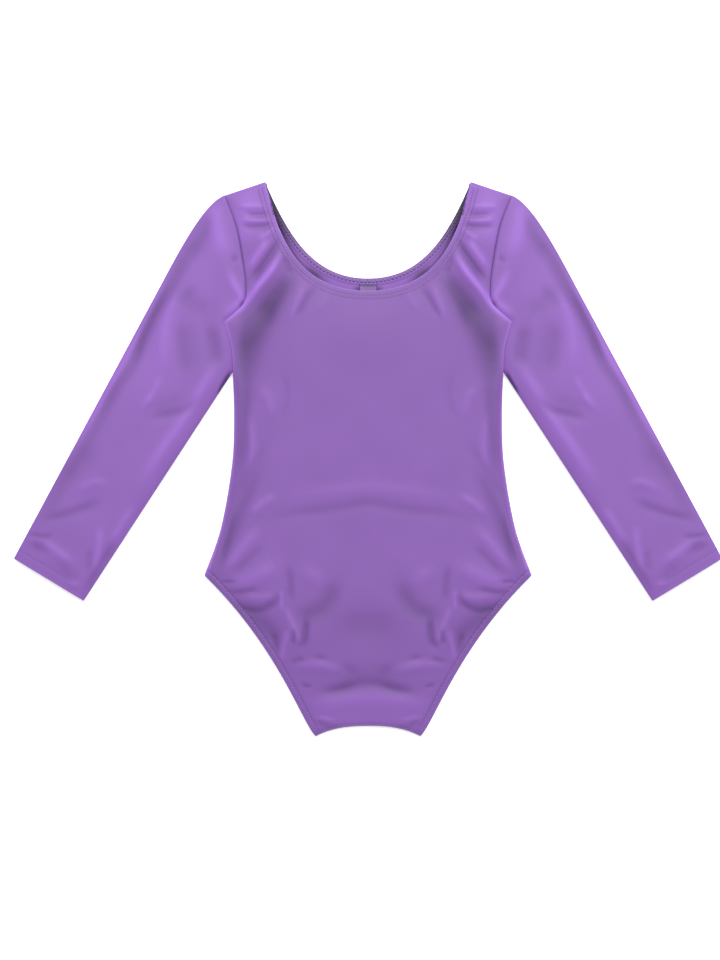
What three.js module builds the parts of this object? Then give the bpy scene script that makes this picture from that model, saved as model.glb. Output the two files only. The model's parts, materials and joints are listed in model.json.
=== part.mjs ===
// A child's long-sleeved gymnastics leotard, laid flat on its back.
//
// Millimetres, +Z up. The garment lies along the XY plane: +Y runs towards the neck, +X towards the
// wearer's left, and Z = 0 is the surface that the back panel lies on. The front and back panels are
// cut pieces of stretch cloth, held apart by a little loft so that the garment stays open inside.
// Each sleeve is one tube that is divided at the line where it folds over the body.
import * as THREE from "three";

// Cloth, thread and elastic
const clothThickness = 0.9;
const clearance = 0.3; // between pieces that touch
const threadThickness = 0.3;
const threadWidth = 1.2;
const elasticThickness = 0.7;
const elasticWidth = 7;
const seamAllowance = 4.5;
const edgeInset = 1.2; // from a cut edge to what is sewn beside it
const facetClearance = 0.45; // beside the flat facets of a curved panel
const seamSpacing = 2; // between the ends of neighbouring seams
const armholeGap = 0.6; // between the body's edge and the sleeve, along X
const foldSplit = 0.15; // each half of a sleeve stops this far from the fold line

// Heights of the laid garment
const edgeLoft = 9.4; // underside of the front panel along its edges
const bodyLoft = 5; // how much higher it stands away from them
const loftReach = 45; // distance from the edge over which it rises
const sleeveHeight = 11;
const sleeveRoundness = 3.4; // power of the sleeve's flattened section

// Body outline, as half widths and heights along the garment
const hipHalfWidth = 151;
const hipY = -107;
const waistHalfWidth = 123.5;
const waistY = 35;
const underarmHalfWidth = 124.6; // where the sleeve leaves the side seam
const underarmY = 80;
const armpitHalfWidth = 132.5; // corner of the panel where the side seam meets the armhole
const armpitY = 126.5;
const armholeHalfWidth = 112.5; // the narrowest place between the armholes
const armholeY = 160;
const shoulderHalfWidth = 132.2;
const shoulderY = 243;
const neckHalfWidth = 94.8;
const neckPointY = 255.5;
const frontNeckY = 155;
const backNeckY = 166.7;
const crotchHalfWidth = 48;
const crotchY = -255.5;
const crotchRise = 9.4; // the crotch seam bows up between the legs

// Sleeve
const sleeveLength = 319; // from the middle of the armhole to the middle of the cuff
const sleeveAngle = THREE.MathUtils.degToRad(31.3); // from the garment's length
const cuffWidth = 75.5;
const capOut = 66; // the cap's curve ends this far out from the shoulder point
const capDrop = 96.3; // and this far below it
const foldAlongCap = 0.15; // share of the cap's curve that stays on the body side of the fold
const foldBelowUnderarm = 65; // the fold's lower end, along the underarm edge
const armpitShare = 0.56; // of the fold line, level with the armpit's corner
const sleeveSeamInset = 3; // from the underarm fold to the seam's allowance inside it

// Small pieces
const topstitchInset = 7; // from a hemmed edge to its row of stitches
const chainstitchInset = 2.4;
const chainstitchWidth = 3.2;
const backStitchTrim = 26; // the inner stitches end this far short of the shoulders
const cuffHem = 8.5;
const liningTopY = -165;
const liningThickness = 0.7;
const liningInset = edgeInset + elasticWidth + 2.4; // clear of the leg elastic
const elasticEdge = edgeInset + elasticWidth;
const seamEdge = edgeInset + seamAllowance;
const labelWidth = 16;
const labelLength = 20;
const labelDrop = 4.5; // below the edge of the back neck
const bandSteps = 14;
const bandTurnRoom = 9; // a band turns over this far from the end of its edge
const hairpinSteps = 4; // facets of a band's turn from the front to the back

const fabric = new THREE.MeshStandardMaterial({ color: 0x966bb8, roughness: 0.6, metalness: 0 });
const thread = new THREE.MeshStandardMaterial({ color: 0x7f57a3, roughness: 0.5, metalness: 0 });
const elastic = new THREE.MeshStandardMaterial({ color: 0xe9e6ea, roughness: 0.8, metalness: 0 });
const label = new THREE.MeshStandardMaterial({ color: 0xa583c4, roughness: 0.6, metalness: 0 });

const leotard = new THREE.Group();
leotard.name = "leotard";
leotard.position.y = -(neckPointY + crotchY) / 2; // keeps the frame under the garment's middle

// ---------- helpers ----------

const plan = (x, y) => new THREE.Vector2(x, y);
const lerp = THREE.MathUtils.lerp;
const mirrored = (points) => points.map((p) => plan(-p.x, p.y));

/** Points evenly spaced along a curve, which may stop short of either end by a distance. */
function along(curve, steps, startTrim = 0, endTrim = 0) {
  const length = curve.getLength();
  const share = (i) => Math.min(1, lerp(startTrim, length - endTrim, i / steps) / length);
  return Array.from({ length: steps + 1 }, (_, i) => curve.getPointAt(share(i)));
}

/** A line of points moved sideways, to the left of its direction. */
function offset(points, distance) {
  return points.map((point, i) => {
    const ahead = points[Math.min(i + 1, points.length - 1)];
    const behind = points[Math.max(i - 1, 0)];
    const direction = ahead.clone().sub(behind).normalize();
    return plan(point.x - direction.y * distance, point.y + direction.x * distance);
  });
}

/** Turns a body's faces outward if its enclosed volume comes out negative. */
function facingOut(geometry) {
  const position = geometry.getAttribute("position");
  const index = geometry.getIndex();
  const corner = (i) => new THREE.Vector3().fromBufferAttribute(position, index.getX(i));
  let volume = 0;
  for (let i = 0; i < index.count; i += 3) {
    volume += corner(i).dot(corner(i + 1).cross(corner(i + 2)));
  }
  if (volume < 0) {
    for (let i = 0; i < index.count; i += 3) {
      const second = index.getX(i + 1);
      index.setX(i + 1, index.getX(i + 2));
      index.setX(i + 2, second);
    }
  }
  geometry.computeVertexNormals();
  return geometry;
}

/** A closed wall: at(i, j) gives the two points, outer and inner, that face each other across it. */
function wall(rows, columns, at, { closedRows = false, closedColumns = false } = {}) {
  const rowCount = rows + (closedRows ? 0 : 1);
  const columnCount = columns + (closedColumns ? 0 : 1);
  const positions = [];
  for (let i = 0; i < rowCount; i += 1) {
    for (let j = 0; j < columnCount; j += 1) {
      at(i, j).forEach((point) => positions.push(point.x, point.y, point.z));
    }
  }
  const id = (i, j, face) => 2 * ((i % rowCount) * columnCount + (j % columnCount)) + face;
  const index = [];
  const quad = (a, b, c, d) => index.push(a, b, c, a, c, d);
  for (let i = 0; i < rows; i += 1) {
    for (let j = 0; j < columns; j += 1) {
      quad(id(i, j, 0), id(i + 1, j, 0), id(i + 1, j + 1, 0), id(i, j + 1, 0));
      quad(id(i, j, 1), id(i, j + 1, 1), id(i + 1, j + 1, 1), id(i + 1, j, 1));
    }
  }
  for (let i = 0; i < rows && !closedColumns; i += 1) {
    quad(id(i, 0, 0), id(i, 0, 1), id(i + 1, 0, 1), id(i + 1, 0, 0));
    quad(id(i, columns, 0), id(i + 1, columns, 0), id(i + 1, columns, 1), id(i, columns, 1));
  }
  for (let j = 0; j < columns && !closedRows; j += 1) {
    quad(id(0, j, 0), id(0, j + 1, 0), id(0, j + 1, 1), id(0, j, 1));
    quad(id(rows, j, 0), id(rows, j, 1), id(rows, j + 1, 1), id(rows, j + 1, 0));
  }
  const geometry = new THREE.BufferGeometry();
  geometry.setAttribute("position", new THREE.Float32BufferAttribute(positions, 3));
  geometry.setIndex(index);
  return facingOut(geometry);
}

/** The same body on the wearer's other side. */
function otherSide(geometry) {
  return facingOut(geometry.clone().scale(-1, 1, 1));
}

function add(name, geometry, material) {
  const mesh = new THREE.Mesh(geometry, material);
  mesh.name = name;
  leotard.add(mesh);
}

function addPair(name, geometry, material) {
  add(`left_${name}`, geometry, material);
  add(`right_${name}`, otherSide(geometry), material);
}

const raised = (point, z) => new THREE.Vector3(point.x, point.y, z);

// ---------- outline ----------

const sideCurve = new THREE.SplineCurve([
  plan(hipHalfWidth, hipY),
  plan(lerp(waistHalfWidth, hipHalfWidth, 0.45), lerp(hipY, waistY, 0.3)),
  plan(lerp(waistHalfWidth, hipHalfWidth, 0.08), lerp(hipY, waistY, 0.7)),
  plan(waistHalfWidth, waistY),
  plan(underarmHalfWidth, underarmY),
]);
const flapCurve = new THREE.SplineCurve([
  plan(underarmHalfWidth, underarmY),
  plan(lerp(underarmHalfWidth, armpitHalfWidth, 0.2), lerp(underarmY, armpitY, 0.5)),
  plan(armpitHalfWidth, armpitY),
]);
const armholeCurve = new THREE.SplineCurve([
  plan(armpitHalfWidth, armpitY),
  plan(armholeHalfWidth + 2, lerp(armpitY, armholeY, 0.5)),
  plan(armholeHalfWidth, armholeY),
  plan(lerp(armholeHalfWidth, shoulderHalfWidth, 0.16), lerp(armholeY, shoulderY, 0.3)),
  plan(lerp(armholeHalfWidth, shoulderHalfWidth, 0.46), lerp(armholeY, shoulderY, 0.67)),
  plan(shoulderHalfWidth, shoulderY),
]);
const legCurve = new THREE.CubicBezierCurve(
  plan(hipHalfWidth, hipY),
  plan(lerp(crotchHalfWidth, hipHalfWidth, 0.32), lerp(hipY, crotchY, 0.46)),
  plan(lerp(crotchHalfWidth, hipHalfWidth, 0.12), lerp(hipY, crotchY, 0.93)),
  plan(crotchHalfWidth, crotchY),
);
const crotchCurve = new THREE.CubicBezierCurve(
  plan(crotchHalfWidth, crotchY),
  plan(crotchHalfWidth * 0.7, crotchY + crotchRise * 0.8),
  plan(crotchHalfWidth * 0.4, crotchY + crotchRise),
  plan(0, crotchY + crotchRise),
);

/** Half of a neckline, from the middle of the body out to the neck point. */
function neckline(lowestY, fullness, flare) {
  const depth = neckPointY - lowestY;
  return new THREE.CubicBezierCurve(
    plan(0, lowestY),
    plan(neckHalfWidth * fullness, lowestY),
    plan(neckHalfWidth * flare, lowestY + depth * 0.42),
    plan(neckHalfWidth, neckPointY),
  );
}
const frontNeck = neckline(frontNeckY, 0.64, 0.86);
const backNeck = neckline(backNeckY, 0.52, 0.77);

const sideSteps = 6;
const flapSteps = 4;
const armholeSteps = 10;
const legSteps = 9;
const crotchSteps = 3;
const shoulderSteps = 3;
const neckSteps = 9;

// The edge of the body from the hip to the shoulder, which the sleeve shares above the underarm
const sideEdge = along(sideCurve, sideSteps);
const flapEdge = along(flapCurve, flapSteps);
const armholeEdge = along(armholeCurve, armholeSteps);
const sleeveEdge = [...flapEdge, ...armholeEdge.slice(1)];
const bodyEdge = [...sideEdge, ...sleeveEdge.slice(1)];
const crotchHalf = along(crotchCurve, crotchSteps).reverse();
const hemHalf = [...crotchHalf, ...along(legCurve, legSteps).reverse().slice(1)];
const shoulderLine = new THREE.LineCurve(
  plan(neckHalfWidth, neckPointY),
  plan(shoulderHalfWidth, shoulderY),
);

/** Half of a panel's upper edge, from the middle of the neck to the shoulder point. */
function upperHalf(neck) {
  return [...along(neck, neckSteps), ...along(shoulderLine, shoulderSteps).slice(1)];
}

/** Both halves of a line that starts in the middle of the body, from its -X end to its +X end. */
function bothHalves(half) {
  return [...mirrored(half).reverse(), ...half.slice(1)];
}

// ---------- heights ----------

const frontOutline = [...hemHalf, ...bodyEdge.slice(1), ...upperHalf(frontNeck).reverse().slice(1)];

/** Distance in plan from a place on the body to the front panel's outline. */
function edgeDistance(point) {
  const place = new THREE.Vector3(Math.abs(point.x), point.y, 0);
  const nearest = new THREE.Vector3();
  const distances = frontOutline.slice(1).map((end, i) => {
    const edge = new THREE.Line3(raised(frontOutline[i], 0), raised(end, 0));
    return edge.closestPointToPoint(place, true, nearest).distanceTo(place);
  });
  return Math.min(...distances);
}

/** Height of the front panel's underside. */
function frontUnderside(point) {
  const short = 1 - Math.min(1, edgeDistance(point) / loftReach);
  return edgeLoft + bodyLoft * (1 - short * short);
}
const frontTop = (point) => frontUnderside(point) + clothThickness;
const onBack = clothThickness + clearance; // what lies on the back panel starts here
const underFront = edgeLoft - clearance; // and what is sewn under the front panel's edges ends here

// ---------- panels ----------

/** A cut piece whose rows and columns follow its four edges. */
function panel(neck, underside, top) {
  const upper = bothHalves(upperHalf(neck));
  const lower = bothHalves(hemHalf);
  const rows = bodyEdge.length - 1;
  const columns = lower.length - 1;
  const at = (i, j) => {
    const v = i / rows;
    const u = j / columns;
    const right = bodyEdge[i];
    const left = plan(-right.x, right.y);
    const point = plan(0, 0)
      .addScaledVector(lower[j], 1 - v)
      .addScaledVector(upper[j], v)
      .addScaledVector(left, 1 - u)
      .addScaledVector(right, u)
      .addScaledVector(lower[0], -(1 - u) * (1 - v))
      .addScaledVector(lower[columns], -u * (1 - v))
      .addScaledVector(upper[0], -(1 - u) * v)
      .addScaledVector(upper[columns], -u * v);
    return [raised(point, top(point)), raised(point, underside(point))];
  };
  return wall(rows, columns, at);
}

add("front_panel", panel(frontNeck, frontUnderside, frontTop), fabric);
add("back_panel", panel(backNeck, () => 0, () => clothThickness), fabric);

/** The lining of the crotch, which lies on the back panel between the two leg elastics. */
function crotchLining() {
  const rows = 6;
  const columns = 8;
  const legSide = offset(along(legCurve, 30), -liningInset);
  const lowestSide = crotchY + seamEdge + seamSpacing * 2;
  return wall(rows, columns, (i, j) => {
    const sideY = lerp(lowestSide, liningTopY, i / rows);
    const above = legSide.findIndex((point, k) => k > 0 && point.y <= sideY);
    const [upper, lower] = [legSide[above - 1], legSide[above]];
    const halfWidth = lerp(lower.x, upper.x, (sideY - lower.y) / (upper.y - lower.y));
    const u = (2 * j) / columns - 1;
    const bow = (crotchRise - seamSpacing) * (1 - u * u) * (1 - i / rows);
    const point = plan(halfWidth * u, sideY + bow);
    return [raised(point, onBack + liningThickness), raised(point, onBack)];
  });
}
add("crotch_lining", crotchLining(), fabric);

// ---------- seams, elastics and stitches of the body ----------
// Distances from an edge are positive to the left of its direction.

/** A strip between two distances from an edge. */
function strip(points, near, far, underside, top) {
  const lines = [offset(points, near), offset(points, far)];
  return wall(points.length - 1, 1, (i, j) => {
    const point = lines[j][i];
    return [raised(point, top(point)), raised(point, underside(point))];
  });
}

/** A row of stitches on top of a surface. */
function stitches(points, inset, width, surface) {
  const underside = (point) => surface(point) + facetClearance;
  const top = (point) => underside(point) + threadThickness;
  return strip(points, inset, inset + Math.sign(inset) * width, underside, top);
}

/**
 * A band that runs along the front, turns over at the end, comes back along the back panel and
 * closes on itself. Both paths run the same way, and near and far are its distances from them.
 */
function bandLoop(frontPath, backPath, near, far, thickness) {
  const half = thickness / 2;
  const backZ = onBack + half;
  const frontZ = underFront - half;
  const radius = (frontZ - backZ) / 2;
  const fronts = [near, far].map((distance) => offset(frontPath, distance));
  const backs = [near, far].map((distance) => offset(backPath, distance));
  const last = frontPath.length - 1;
  const sections = [];
  const straight = (lines, i, height, out) => {
    const section = lines.map((line) =>
      [half, -half].map((shift) => raised(line[i], height + shift * out)),
    );
    sections.push(section);
  };
  // A half turn round a line across the band, from the front at angle 0 to the back at pi
  const turnPoint = (front, back, direction, angle, shift) => {
    const reach = (radius + shift) * Math.sin(angle);
    const middle = front.clone().lerp(back, (1 - Math.cos(angle)) / 2);
    const height = backZ + radius + (radius + shift) * Math.cos(angle);
    return raised(middle.addScaledVector(direction, reach), height);
  };
  const hairpin = (i, before, angles) => {
    const direction = frontPath[i].clone().sub(frontPath[before]).normalize();
    angles.forEach((angle) => {
      const section = fronts.map((line, side) =>
        [half, -half].map((shift) => turnPoint(line[i], backs[side][i], direction, angle, shift)),
      );
      sections.push(section);
    });
  };
  const turn = Array.from({ length: hairpinSteps - 1 }, (_, i) => (Math.PI * (i + 1)) / hairpinSteps);
  for (let i = 0; i <= last; i += 1) {
    straight(fronts, i, frontZ, 1);
  }
  hairpin(last, last - 1, turn);
  for (let i = last; i >= 0; i -= 1) {
    straight(backs, i, backZ, -1);
  }
  hairpin(0, 1, [...turn].reverse());
  return wall(sections.length, 1, (i, j) => sections[i][j], { closedRows: true });
}

const neckPath = (neck) => bothHalves(along(neck, bandSteps, 0, bandTurnRoom));
add(
  "neck_elastic",
  bandLoop(neckPath(frontNeck), neckPath(backNeck), -edgeInset, -elasticEdge, elasticThickness),
  elastic,
);

const legPath = along(legCurve, bandSteps, bandTurnRoom, bandTurnRoom);
addPair("leg_elastic", bandLoop(legPath, legPath, -edgeInset, -elasticEdge, elasticThickness), elastic);

const armholePath = along(armholeCurve, bandSteps, bandTurnRoom, bandTurnRoom);
addPair(
  "armhole_seam",
  bandLoop(armholePath, armholePath, edgeInset, seamEdge, elasticThickness),
  thread,
);

/** A seam's allowance, which stands between the back and front panels beside their joined edges. */
function seam(points, direction) {
  const height = (z) => () => z;
  return strip(points, edgeInset * direction, seamEdge * direction, height(onBack), height(underFront));
}
const sidePath = along(sideCurve, 12, elasticEdge + bandTurnRoom, 0);
addPair("side_seam", seam(sidePath, 1), thread);
const shoulderPath = along(shoulderLine, 4, elasticEdge + seamSpacing, seamEdge + seamSpacing);
addPair("shoulder_seam", seam(shoulderPath, -1), thread);
const crotchPath = bothHalves(along(crotchCurve, 5, elasticEdge + seamSpacing, 0).reverse());
add("crotch_seam", seam(crotchPath, 1), thread);

const neckStitchPath = bothHalves(along(frontNeck, 22, 0, topstitchInset));
add("neck_topstitch", stitches(neckStitchPath, -topstitchInset, threadWidth, frontTop), thread);
const legStitchPath = along(legCurve, 22, topstitchInset, topstitchInset);
addPair("leg_topstitch", stitches(legStitchPath, -topstitchInset, threadWidth, frontTop), thread);

// The chain stitches that show inside the back of the neck lie on the elastic
const backElasticTop = onBack + elasticThickness;
const backStitchPath = bothHalves(along(backNeck, 12, 0, backStitchTrim));
add(
  "neck_chainstitch",
  stitches(backStitchPath, -chainstitchInset, chainstitchWidth, () => backElasticTop),
  thread,
);

const labelTop = backNeckY - labelDrop;
const labelZ = backElasticTop + facetClearance + threadThickness + clearance;
const labelBody = new THREE.BoxGeometry(labelWidth, labelLength, threadThickness);
labelBody.translate(0, labelTop - labelLength / 2, labelZ + threadThickness / 2);
add("size_label", labelBody, label);

// ---------- sleeves ----------

const shoulderPoint = plan(shoulderHalfWidth, shoulderY);
const underarmPoint = plan(underarmHalfWidth, underarmY);
const sleeveDirection = plan(Math.sin(sleeveAngle), -Math.cos(sleeveAngle));
const cuffDirection = plan(Math.cos(sleeveAngle), Math.sin(sleeveAngle));
const cuffMiddle = shoulderPoint
  .clone()
  .lerp(underarmPoint, 0.5)
  .addScaledVector(sleeveDirection, sleeveLength);
const cuffOuter = cuffMiddle.clone().addScaledVector(cuffDirection, cuffWidth / 2);
const cuffInner = cuffMiddle.clone().addScaledVector(cuffDirection, -cuffWidth / 2);

const capEnd = plan(shoulderHalfWidth + capOut, shoulderY - capDrop);
const outerDirection = cuffOuter.clone().sub(capEnd).normalize();
const capCurve = new THREE.CubicBezierCurve(
  shoulderPoint,
  plan(shoulderHalfWidth + capOut * 0.31, shoulderY - capDrop * 0.08),
  capEnd.clone().addScaledVector(outerDirection, -capDrop * 0.47),
  capEnd,
);
const underarmDirection = cuffInner.clone().sub(underarmPoint).normalize();
const foldUpper = capCurve.getPoint(foldAlongCap);
const foldLower = underarmPoint.clone().addScaledVector(underarmDirection, foldBelowUnderarm);

// Shares across the sleeve, from its outer edge to the underarm, at the steps of the body's edge
const armholeLine = [...sleeveEdge].reverse();
const shares = armholeLine.map((point) =>
  point.y > armpitY
    ? armpitShare * ((shoulderY - point.y) / (shoulderY - armpitY))
    : lerp(armpitShare, 1, (armpitY - point.y) / (armpitY - underarmY)),
);
const lastShare = shares.length - 1;

/** The flattened section's height above or below its middle, as a share of its half height. */
function fullness(share) {
  const across = Math.abs(2 * share - 1);
  return Math.pow(1 - Math.pow(across, sleeveRoundness), 1 / sleeveRoundness);
}

/** A tube of cloth through rows of points in plan, each row running across the sleeve. */
function tube(rows) {
  const middle = sleeveHeight / 2;
  const columns = 2 * lastShare;
  const at = (i, j) => {
    const k = j <= lastShare ? j : columns - j;
    const side = j <= lastShare ? 1 : -1;
    const point = rows[i][k];
    const inward = k === 0 ? rows[i][1] : rows[i][lastShare - 1];
    const onFold = k === 0 || k === lastShare;
    const step = inward.clone().sub(point).setLength(clothThickness);
    const inside = onFold ? point.clone().add(step) : point;
    const rise = fullness(shares[k]) * side;
    return [
      raised(point, middle + middle * rise),
      raised(inside, middle + (middle - clothThickness) * rise),
    ];
  };
  return wall(rows.length - 1, columns, at, { closedColumns: true });
}

const across = (outer, inner) => shares.map((share) => outer.clone().lerp(inner, share));
const foldShift = outerDirection.clone().rotateAround(plan(0, 0), Math.PI / 2);
const foldRow = (side) =>
  across(foldUpper, foldLower).map((point) => point.addScaledVector(foldShift, side * foldSplit));

// The head runs from the armhole to the fold line
const headSteps = 4;
const armholeRow = armholeLine.map((point) => plan(point.x + armholeGap, point.y));
const headEnd = foldRow(-1);
const headRows = Array.from({ length: headSteps + 1 }, (_, i) =>
  armholeRow.map((point, k) => point.clone().lerp(headEnd[k], i / headSteps)),
);
addPair("sleeve_head", tube(headRows), fabric);

// The sleeve runs on from the fold line to the cuff
const capSteps = 6;
const straightSteps = 8;
const outerEdge = [
  ...Array.from({ length: capSteps }, (_, i) => capCurve.getPoint(lerp(foldAlongCap, 1, i / capSteps))),
  ...along(new THREE.LineCurve(capEnd, cuffOuter), straightSteps),
];
const outerLengths = outerEdge.map((point, i) => (i ? point.distanceTo(outerEdge[i - 1]) : 0));
const outerTotal = outerLengths.reduce((sum, length) => sum + length, 0);
let travelled = 0;
const sleeveRows = outerEdge.map((point, i) => {
  travelled += outerLengths[i];
  return across(point, foldLower.clone().lerp(cuffInner, travelled / outerTotal));
});
sleeveRows[0] = foldRow(1);
addPair("sleeve", tube(sleeveRows), fabric);

/** The allowance of the underarm seam, inside the tube along its underarm fold. */
function underarmSeam(start, end, startTrim, endTrim) {
  const points = along(new THREE.LineCurve(start, end), 8, startTrim, endTrim);
  const middle = sleeveHeight / 2;
  const height = (side) => () => middle + (side * elasticThickness) / 2;
  return strip(points, sleeveSeamInset, sleeveSeamInset + seamAllowance, height(-1), height(1));
}
addPair(
  "underarm_seam",
  underarmSeam(underarmPoint, foldLower, seamEdge + seamSpacing, seamEdge + seamSpacing),
  thread,
);
addPair("sleeve_seam", underarmSeam(foldLower, cuffInner, seamEdge, edgeInset), thread);

/** The row of stitches over the top of the cuff's hem, between the sleeve's two folds. */
function cuffTopstitch() {
  const skipped = 2;
  const lines = [cuffHem, cuffHem + threadWidth].map((distance) => {
    const outer = cuffOuter.clone().addScaledVector(outerDirection, -distance);
    const inner = cuffInner.clone().addScaledVector(underarmDirection, -distance);
    return across(outer, inner);
  });
  const top = (share) => (sleeveHeight / 2) * (1 + fullness(share));
  return wall(lastShare - 2 * skipped, 1, (i, j) => {
    const k = i + skipped;
    const z = top(shares[k]) + clearance;
    return [raised(lines[j][k], z + threadThickness), raised(lines[j][k], z)];
  });
}
addPair("cuff_topstitch", cuffTopstitch(), thread);

export default leotard;
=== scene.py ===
"""Looks of a child's long-sleeved gymnastics leotard, laid flat on its back.

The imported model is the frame: +Z up, +Y towards the neck, +X towards the wearer's left. Sizes are in
millimetres until a mesh is made. Every piece is cloth, thread or elastic, shaped here by its cut outline,
the loft of the laid garment and the creases pressed into it.
"""

import json
import logging
from collections.abc import Callable, Mapping, Sequence
from dataclasses import dataclass, field, replace
from enum import Enum
from functools import cached_property

import bpy
import numpy as np
from numpy.typing import NDArray
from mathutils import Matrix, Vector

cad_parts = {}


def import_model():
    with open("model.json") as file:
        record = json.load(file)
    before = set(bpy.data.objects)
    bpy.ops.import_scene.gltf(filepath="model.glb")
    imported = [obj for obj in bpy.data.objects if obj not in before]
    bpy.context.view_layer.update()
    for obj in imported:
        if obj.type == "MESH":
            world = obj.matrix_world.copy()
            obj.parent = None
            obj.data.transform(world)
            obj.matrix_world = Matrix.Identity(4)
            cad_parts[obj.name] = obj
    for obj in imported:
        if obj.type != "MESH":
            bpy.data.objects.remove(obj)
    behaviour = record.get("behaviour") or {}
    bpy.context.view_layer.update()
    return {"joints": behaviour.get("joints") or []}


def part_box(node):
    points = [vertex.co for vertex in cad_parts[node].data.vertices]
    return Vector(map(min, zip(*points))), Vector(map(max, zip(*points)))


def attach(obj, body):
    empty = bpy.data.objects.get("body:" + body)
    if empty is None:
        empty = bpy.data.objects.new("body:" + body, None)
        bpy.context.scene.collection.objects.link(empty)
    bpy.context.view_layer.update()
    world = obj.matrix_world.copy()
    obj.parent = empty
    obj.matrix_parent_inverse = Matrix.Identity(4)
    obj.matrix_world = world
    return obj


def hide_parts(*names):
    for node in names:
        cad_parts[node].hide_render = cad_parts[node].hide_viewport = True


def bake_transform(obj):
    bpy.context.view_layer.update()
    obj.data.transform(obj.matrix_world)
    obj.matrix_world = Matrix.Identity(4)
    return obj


Array = NDArray[np.float64]
Surface = Callable[[Array], Array]
MM = 0.001
report = logging.getLogger("leotard")


class Side(Enum):
    """The wearer's side that a paired piece is on, as the sign of its X."""

    LEFT = 1.0
    RIGHT = -1.0

    @property
    def prefix(self) -> str:
        """Start of the names of this side's pieces and CAD nodes."""
        return self.name.lower()

    def placed(self, points: Array) -> Array:
        """Points of the +X half moved to this side."""
        return points * [self.value, 1, 1]


class Turn(Enum):
    """How the two ends of a grid's columns meet."""

    OPEN = "open"
    CLOSED = "closed"


# ---------- lines in plan ----------


def distances(points: Array) -> Array:
    """Distance travelled from the first of these points to each of them."""
    return np.concatenate([[0.0], np.cumsum(np.linalg.norm(np.diff(points, axis=0), axis=1))])


@dataclass(frozen=True)
class PlanLine:
    """A line on the surface that the garment lies on, as points in millimetres."""

    points: Array

    @cached_property
    def travel(self) -> Array:
        """Distance travelled along the line at each of its points."""
        return distances(self.points)

    @property
    def length(self) -> float:
        """Whole length of the line."""
        return float(self.travel[-1])

    def at(self, travelled: Array) -> Array:
        """Points at these distances along the line."""
        return np.stack([np.interp(travelled, self.travel, self.points[:, k]) for k in (0, 1)], axis=-1)

    def along(self, steps: int, start: float = 0.0, end: float = 0.0) -> "PlanLine":
        """The line in even steps, stopping short of its ends by the given distances."""
        return PlanLine(self.at(np.linspace(start, self.length - end, steps + 1)))

    def sideways(self, travelled: Array, distance: Array | float) -> Array:
        """Points beside the line.

        Args:
            travelled: Distances along the line.
            distance: How far to the left of the line's direction.

        Returns:
            One point in plan for each distance travelled.
        """
        ahead, behind = self.at(travelled + 0.5), self.at(travelled - 0.5)
        direction = ahead - behind
        direction /= np.linalg.norm(direction, axis=1, keepdims=True)
        left = np.stack([-direction[:, 1], direction[:, 0]], axis=-1)
        return self.at(travelled) + left * np.broadcast_to(distance, travelled.shape)[:, None]

    def nearest(self, places: Array) -> tuple[Array, Array]:
        """Finds the nearest point of the line to each place.

        Args:
            places: Points in plan.

        Returns:
            The distance to the line, and the distance travelled along it to the nearest point.
        """
        best = np.full(len(places), np.inf)
        travelled = np.zeros(len(places))
        for k in range(len(self.points) - 1):
            start, step = self.points[k], self.points[k + 1] - self.points[k]
            share = np.clip((places - start) @ step / max(step @ step, 1e-9), 0, 1)
            gap = places - start - share[:, None] * step
            squared = np.einsum("ij,ij->i", gap, gap)
            closer = squared < best
            best[closer] = squared[closer]
            reached = self.travel[k] + share * (self.travel[k + 1] - self.travel[k])
            travelled[closer] = reached[closer]
        return np.sqrt(best), travelled

    def both_halves(self) -> "PlanLine":
        """This half line, which starts in the middle of the body, joined to its mirror image."""
        return PlanLine(np.concatenate([self.points[:0:-1] * [-1, 1], self.points]))

    def then(self, other: "PlanLine") -> "PlanLine":
        """This line followed by another that starts where it ends."""
        return PlanLine(np.concatenate([self.points, other.points[1:]]))

    def reversed(self) -> "PlanLine":
        """The same line from its end to its start."""
        return PlanLine(self.points[::-1])


def spline(points: Sequence[tuple[float, float]], steps: int = 24) -> PlanLine:
    """A smooth line through points (uniform Catmull-Rom).

    Args:
        points: Points that the line passes through.
        steps: Number of steps between each two of them.

    Returns:
        The line.
    """
    known = np.asarray(points, float)
    padded = np.concatenate([known[:1], known, known[-1:]])
    t = np.linspace(0, 1, steps, endpoint=False)[:, None]
    spans = []
    for before, start, end, after in zip(padded, padded[1:], padded[2:], padded[3:]):
        leave, arrive = (end - before) / 2, (after - start) / 2
        cubic = (2 * start - 2 * end + leave + arrive) * t**3
        spans.append(cubic + (3 * end - 3 * start - 2 * leave - arrive) * t**2 + leave * t + start)
    return PlanLine(np.concatenate([*spans, known[-1:]]))


def bezier(points: Sequence[tuple[float, float]], steps: int = 72) -> PlanLine:
    """A cubic Bezier line.

    Args:
        points: Its start, the two points that it bends towards, and its end.
        steps: Number of steps that it is made in.

    Returns:
        The line.
    """
    p = np.asarray(points, float)
    t = np.linspace(0, 1, steps + 1)[:, None]
    s = 1 - t
    return PlanLine(s**3 * p[0] + 3 * s**2 * t * p[1] + 3 * s * t**2 * p[2] + t**3 * p[3])


def mix(a: float, b: float, share: Array | float) -> Array | float:
    """The value that lies that share of the way from a to b."""
    return a + (b - a) * share


def ease(values: Array) -> Array:
    """Smooth step from 0 to 1."""
    t = np.clip(values, 0, 1)
    return t * t * (3 - 2 * t)


def quarter_round(values: Array) -> Array:
    """Height of a quarter circle: 0 at the edge, 1 from one radius inwards."""
    t = np.clip(values, 0, 1)
    return np.sqrt(1 - (1 - t) ** 2)


def fade(gap: Array, reach: float, power: float = 2.0) -> Array:
    """How much is felt of something at a distance: 1 on it, nearly nothing beyond twice its reach."""
    return np.exp(-((gap / reach) ** power))


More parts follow.
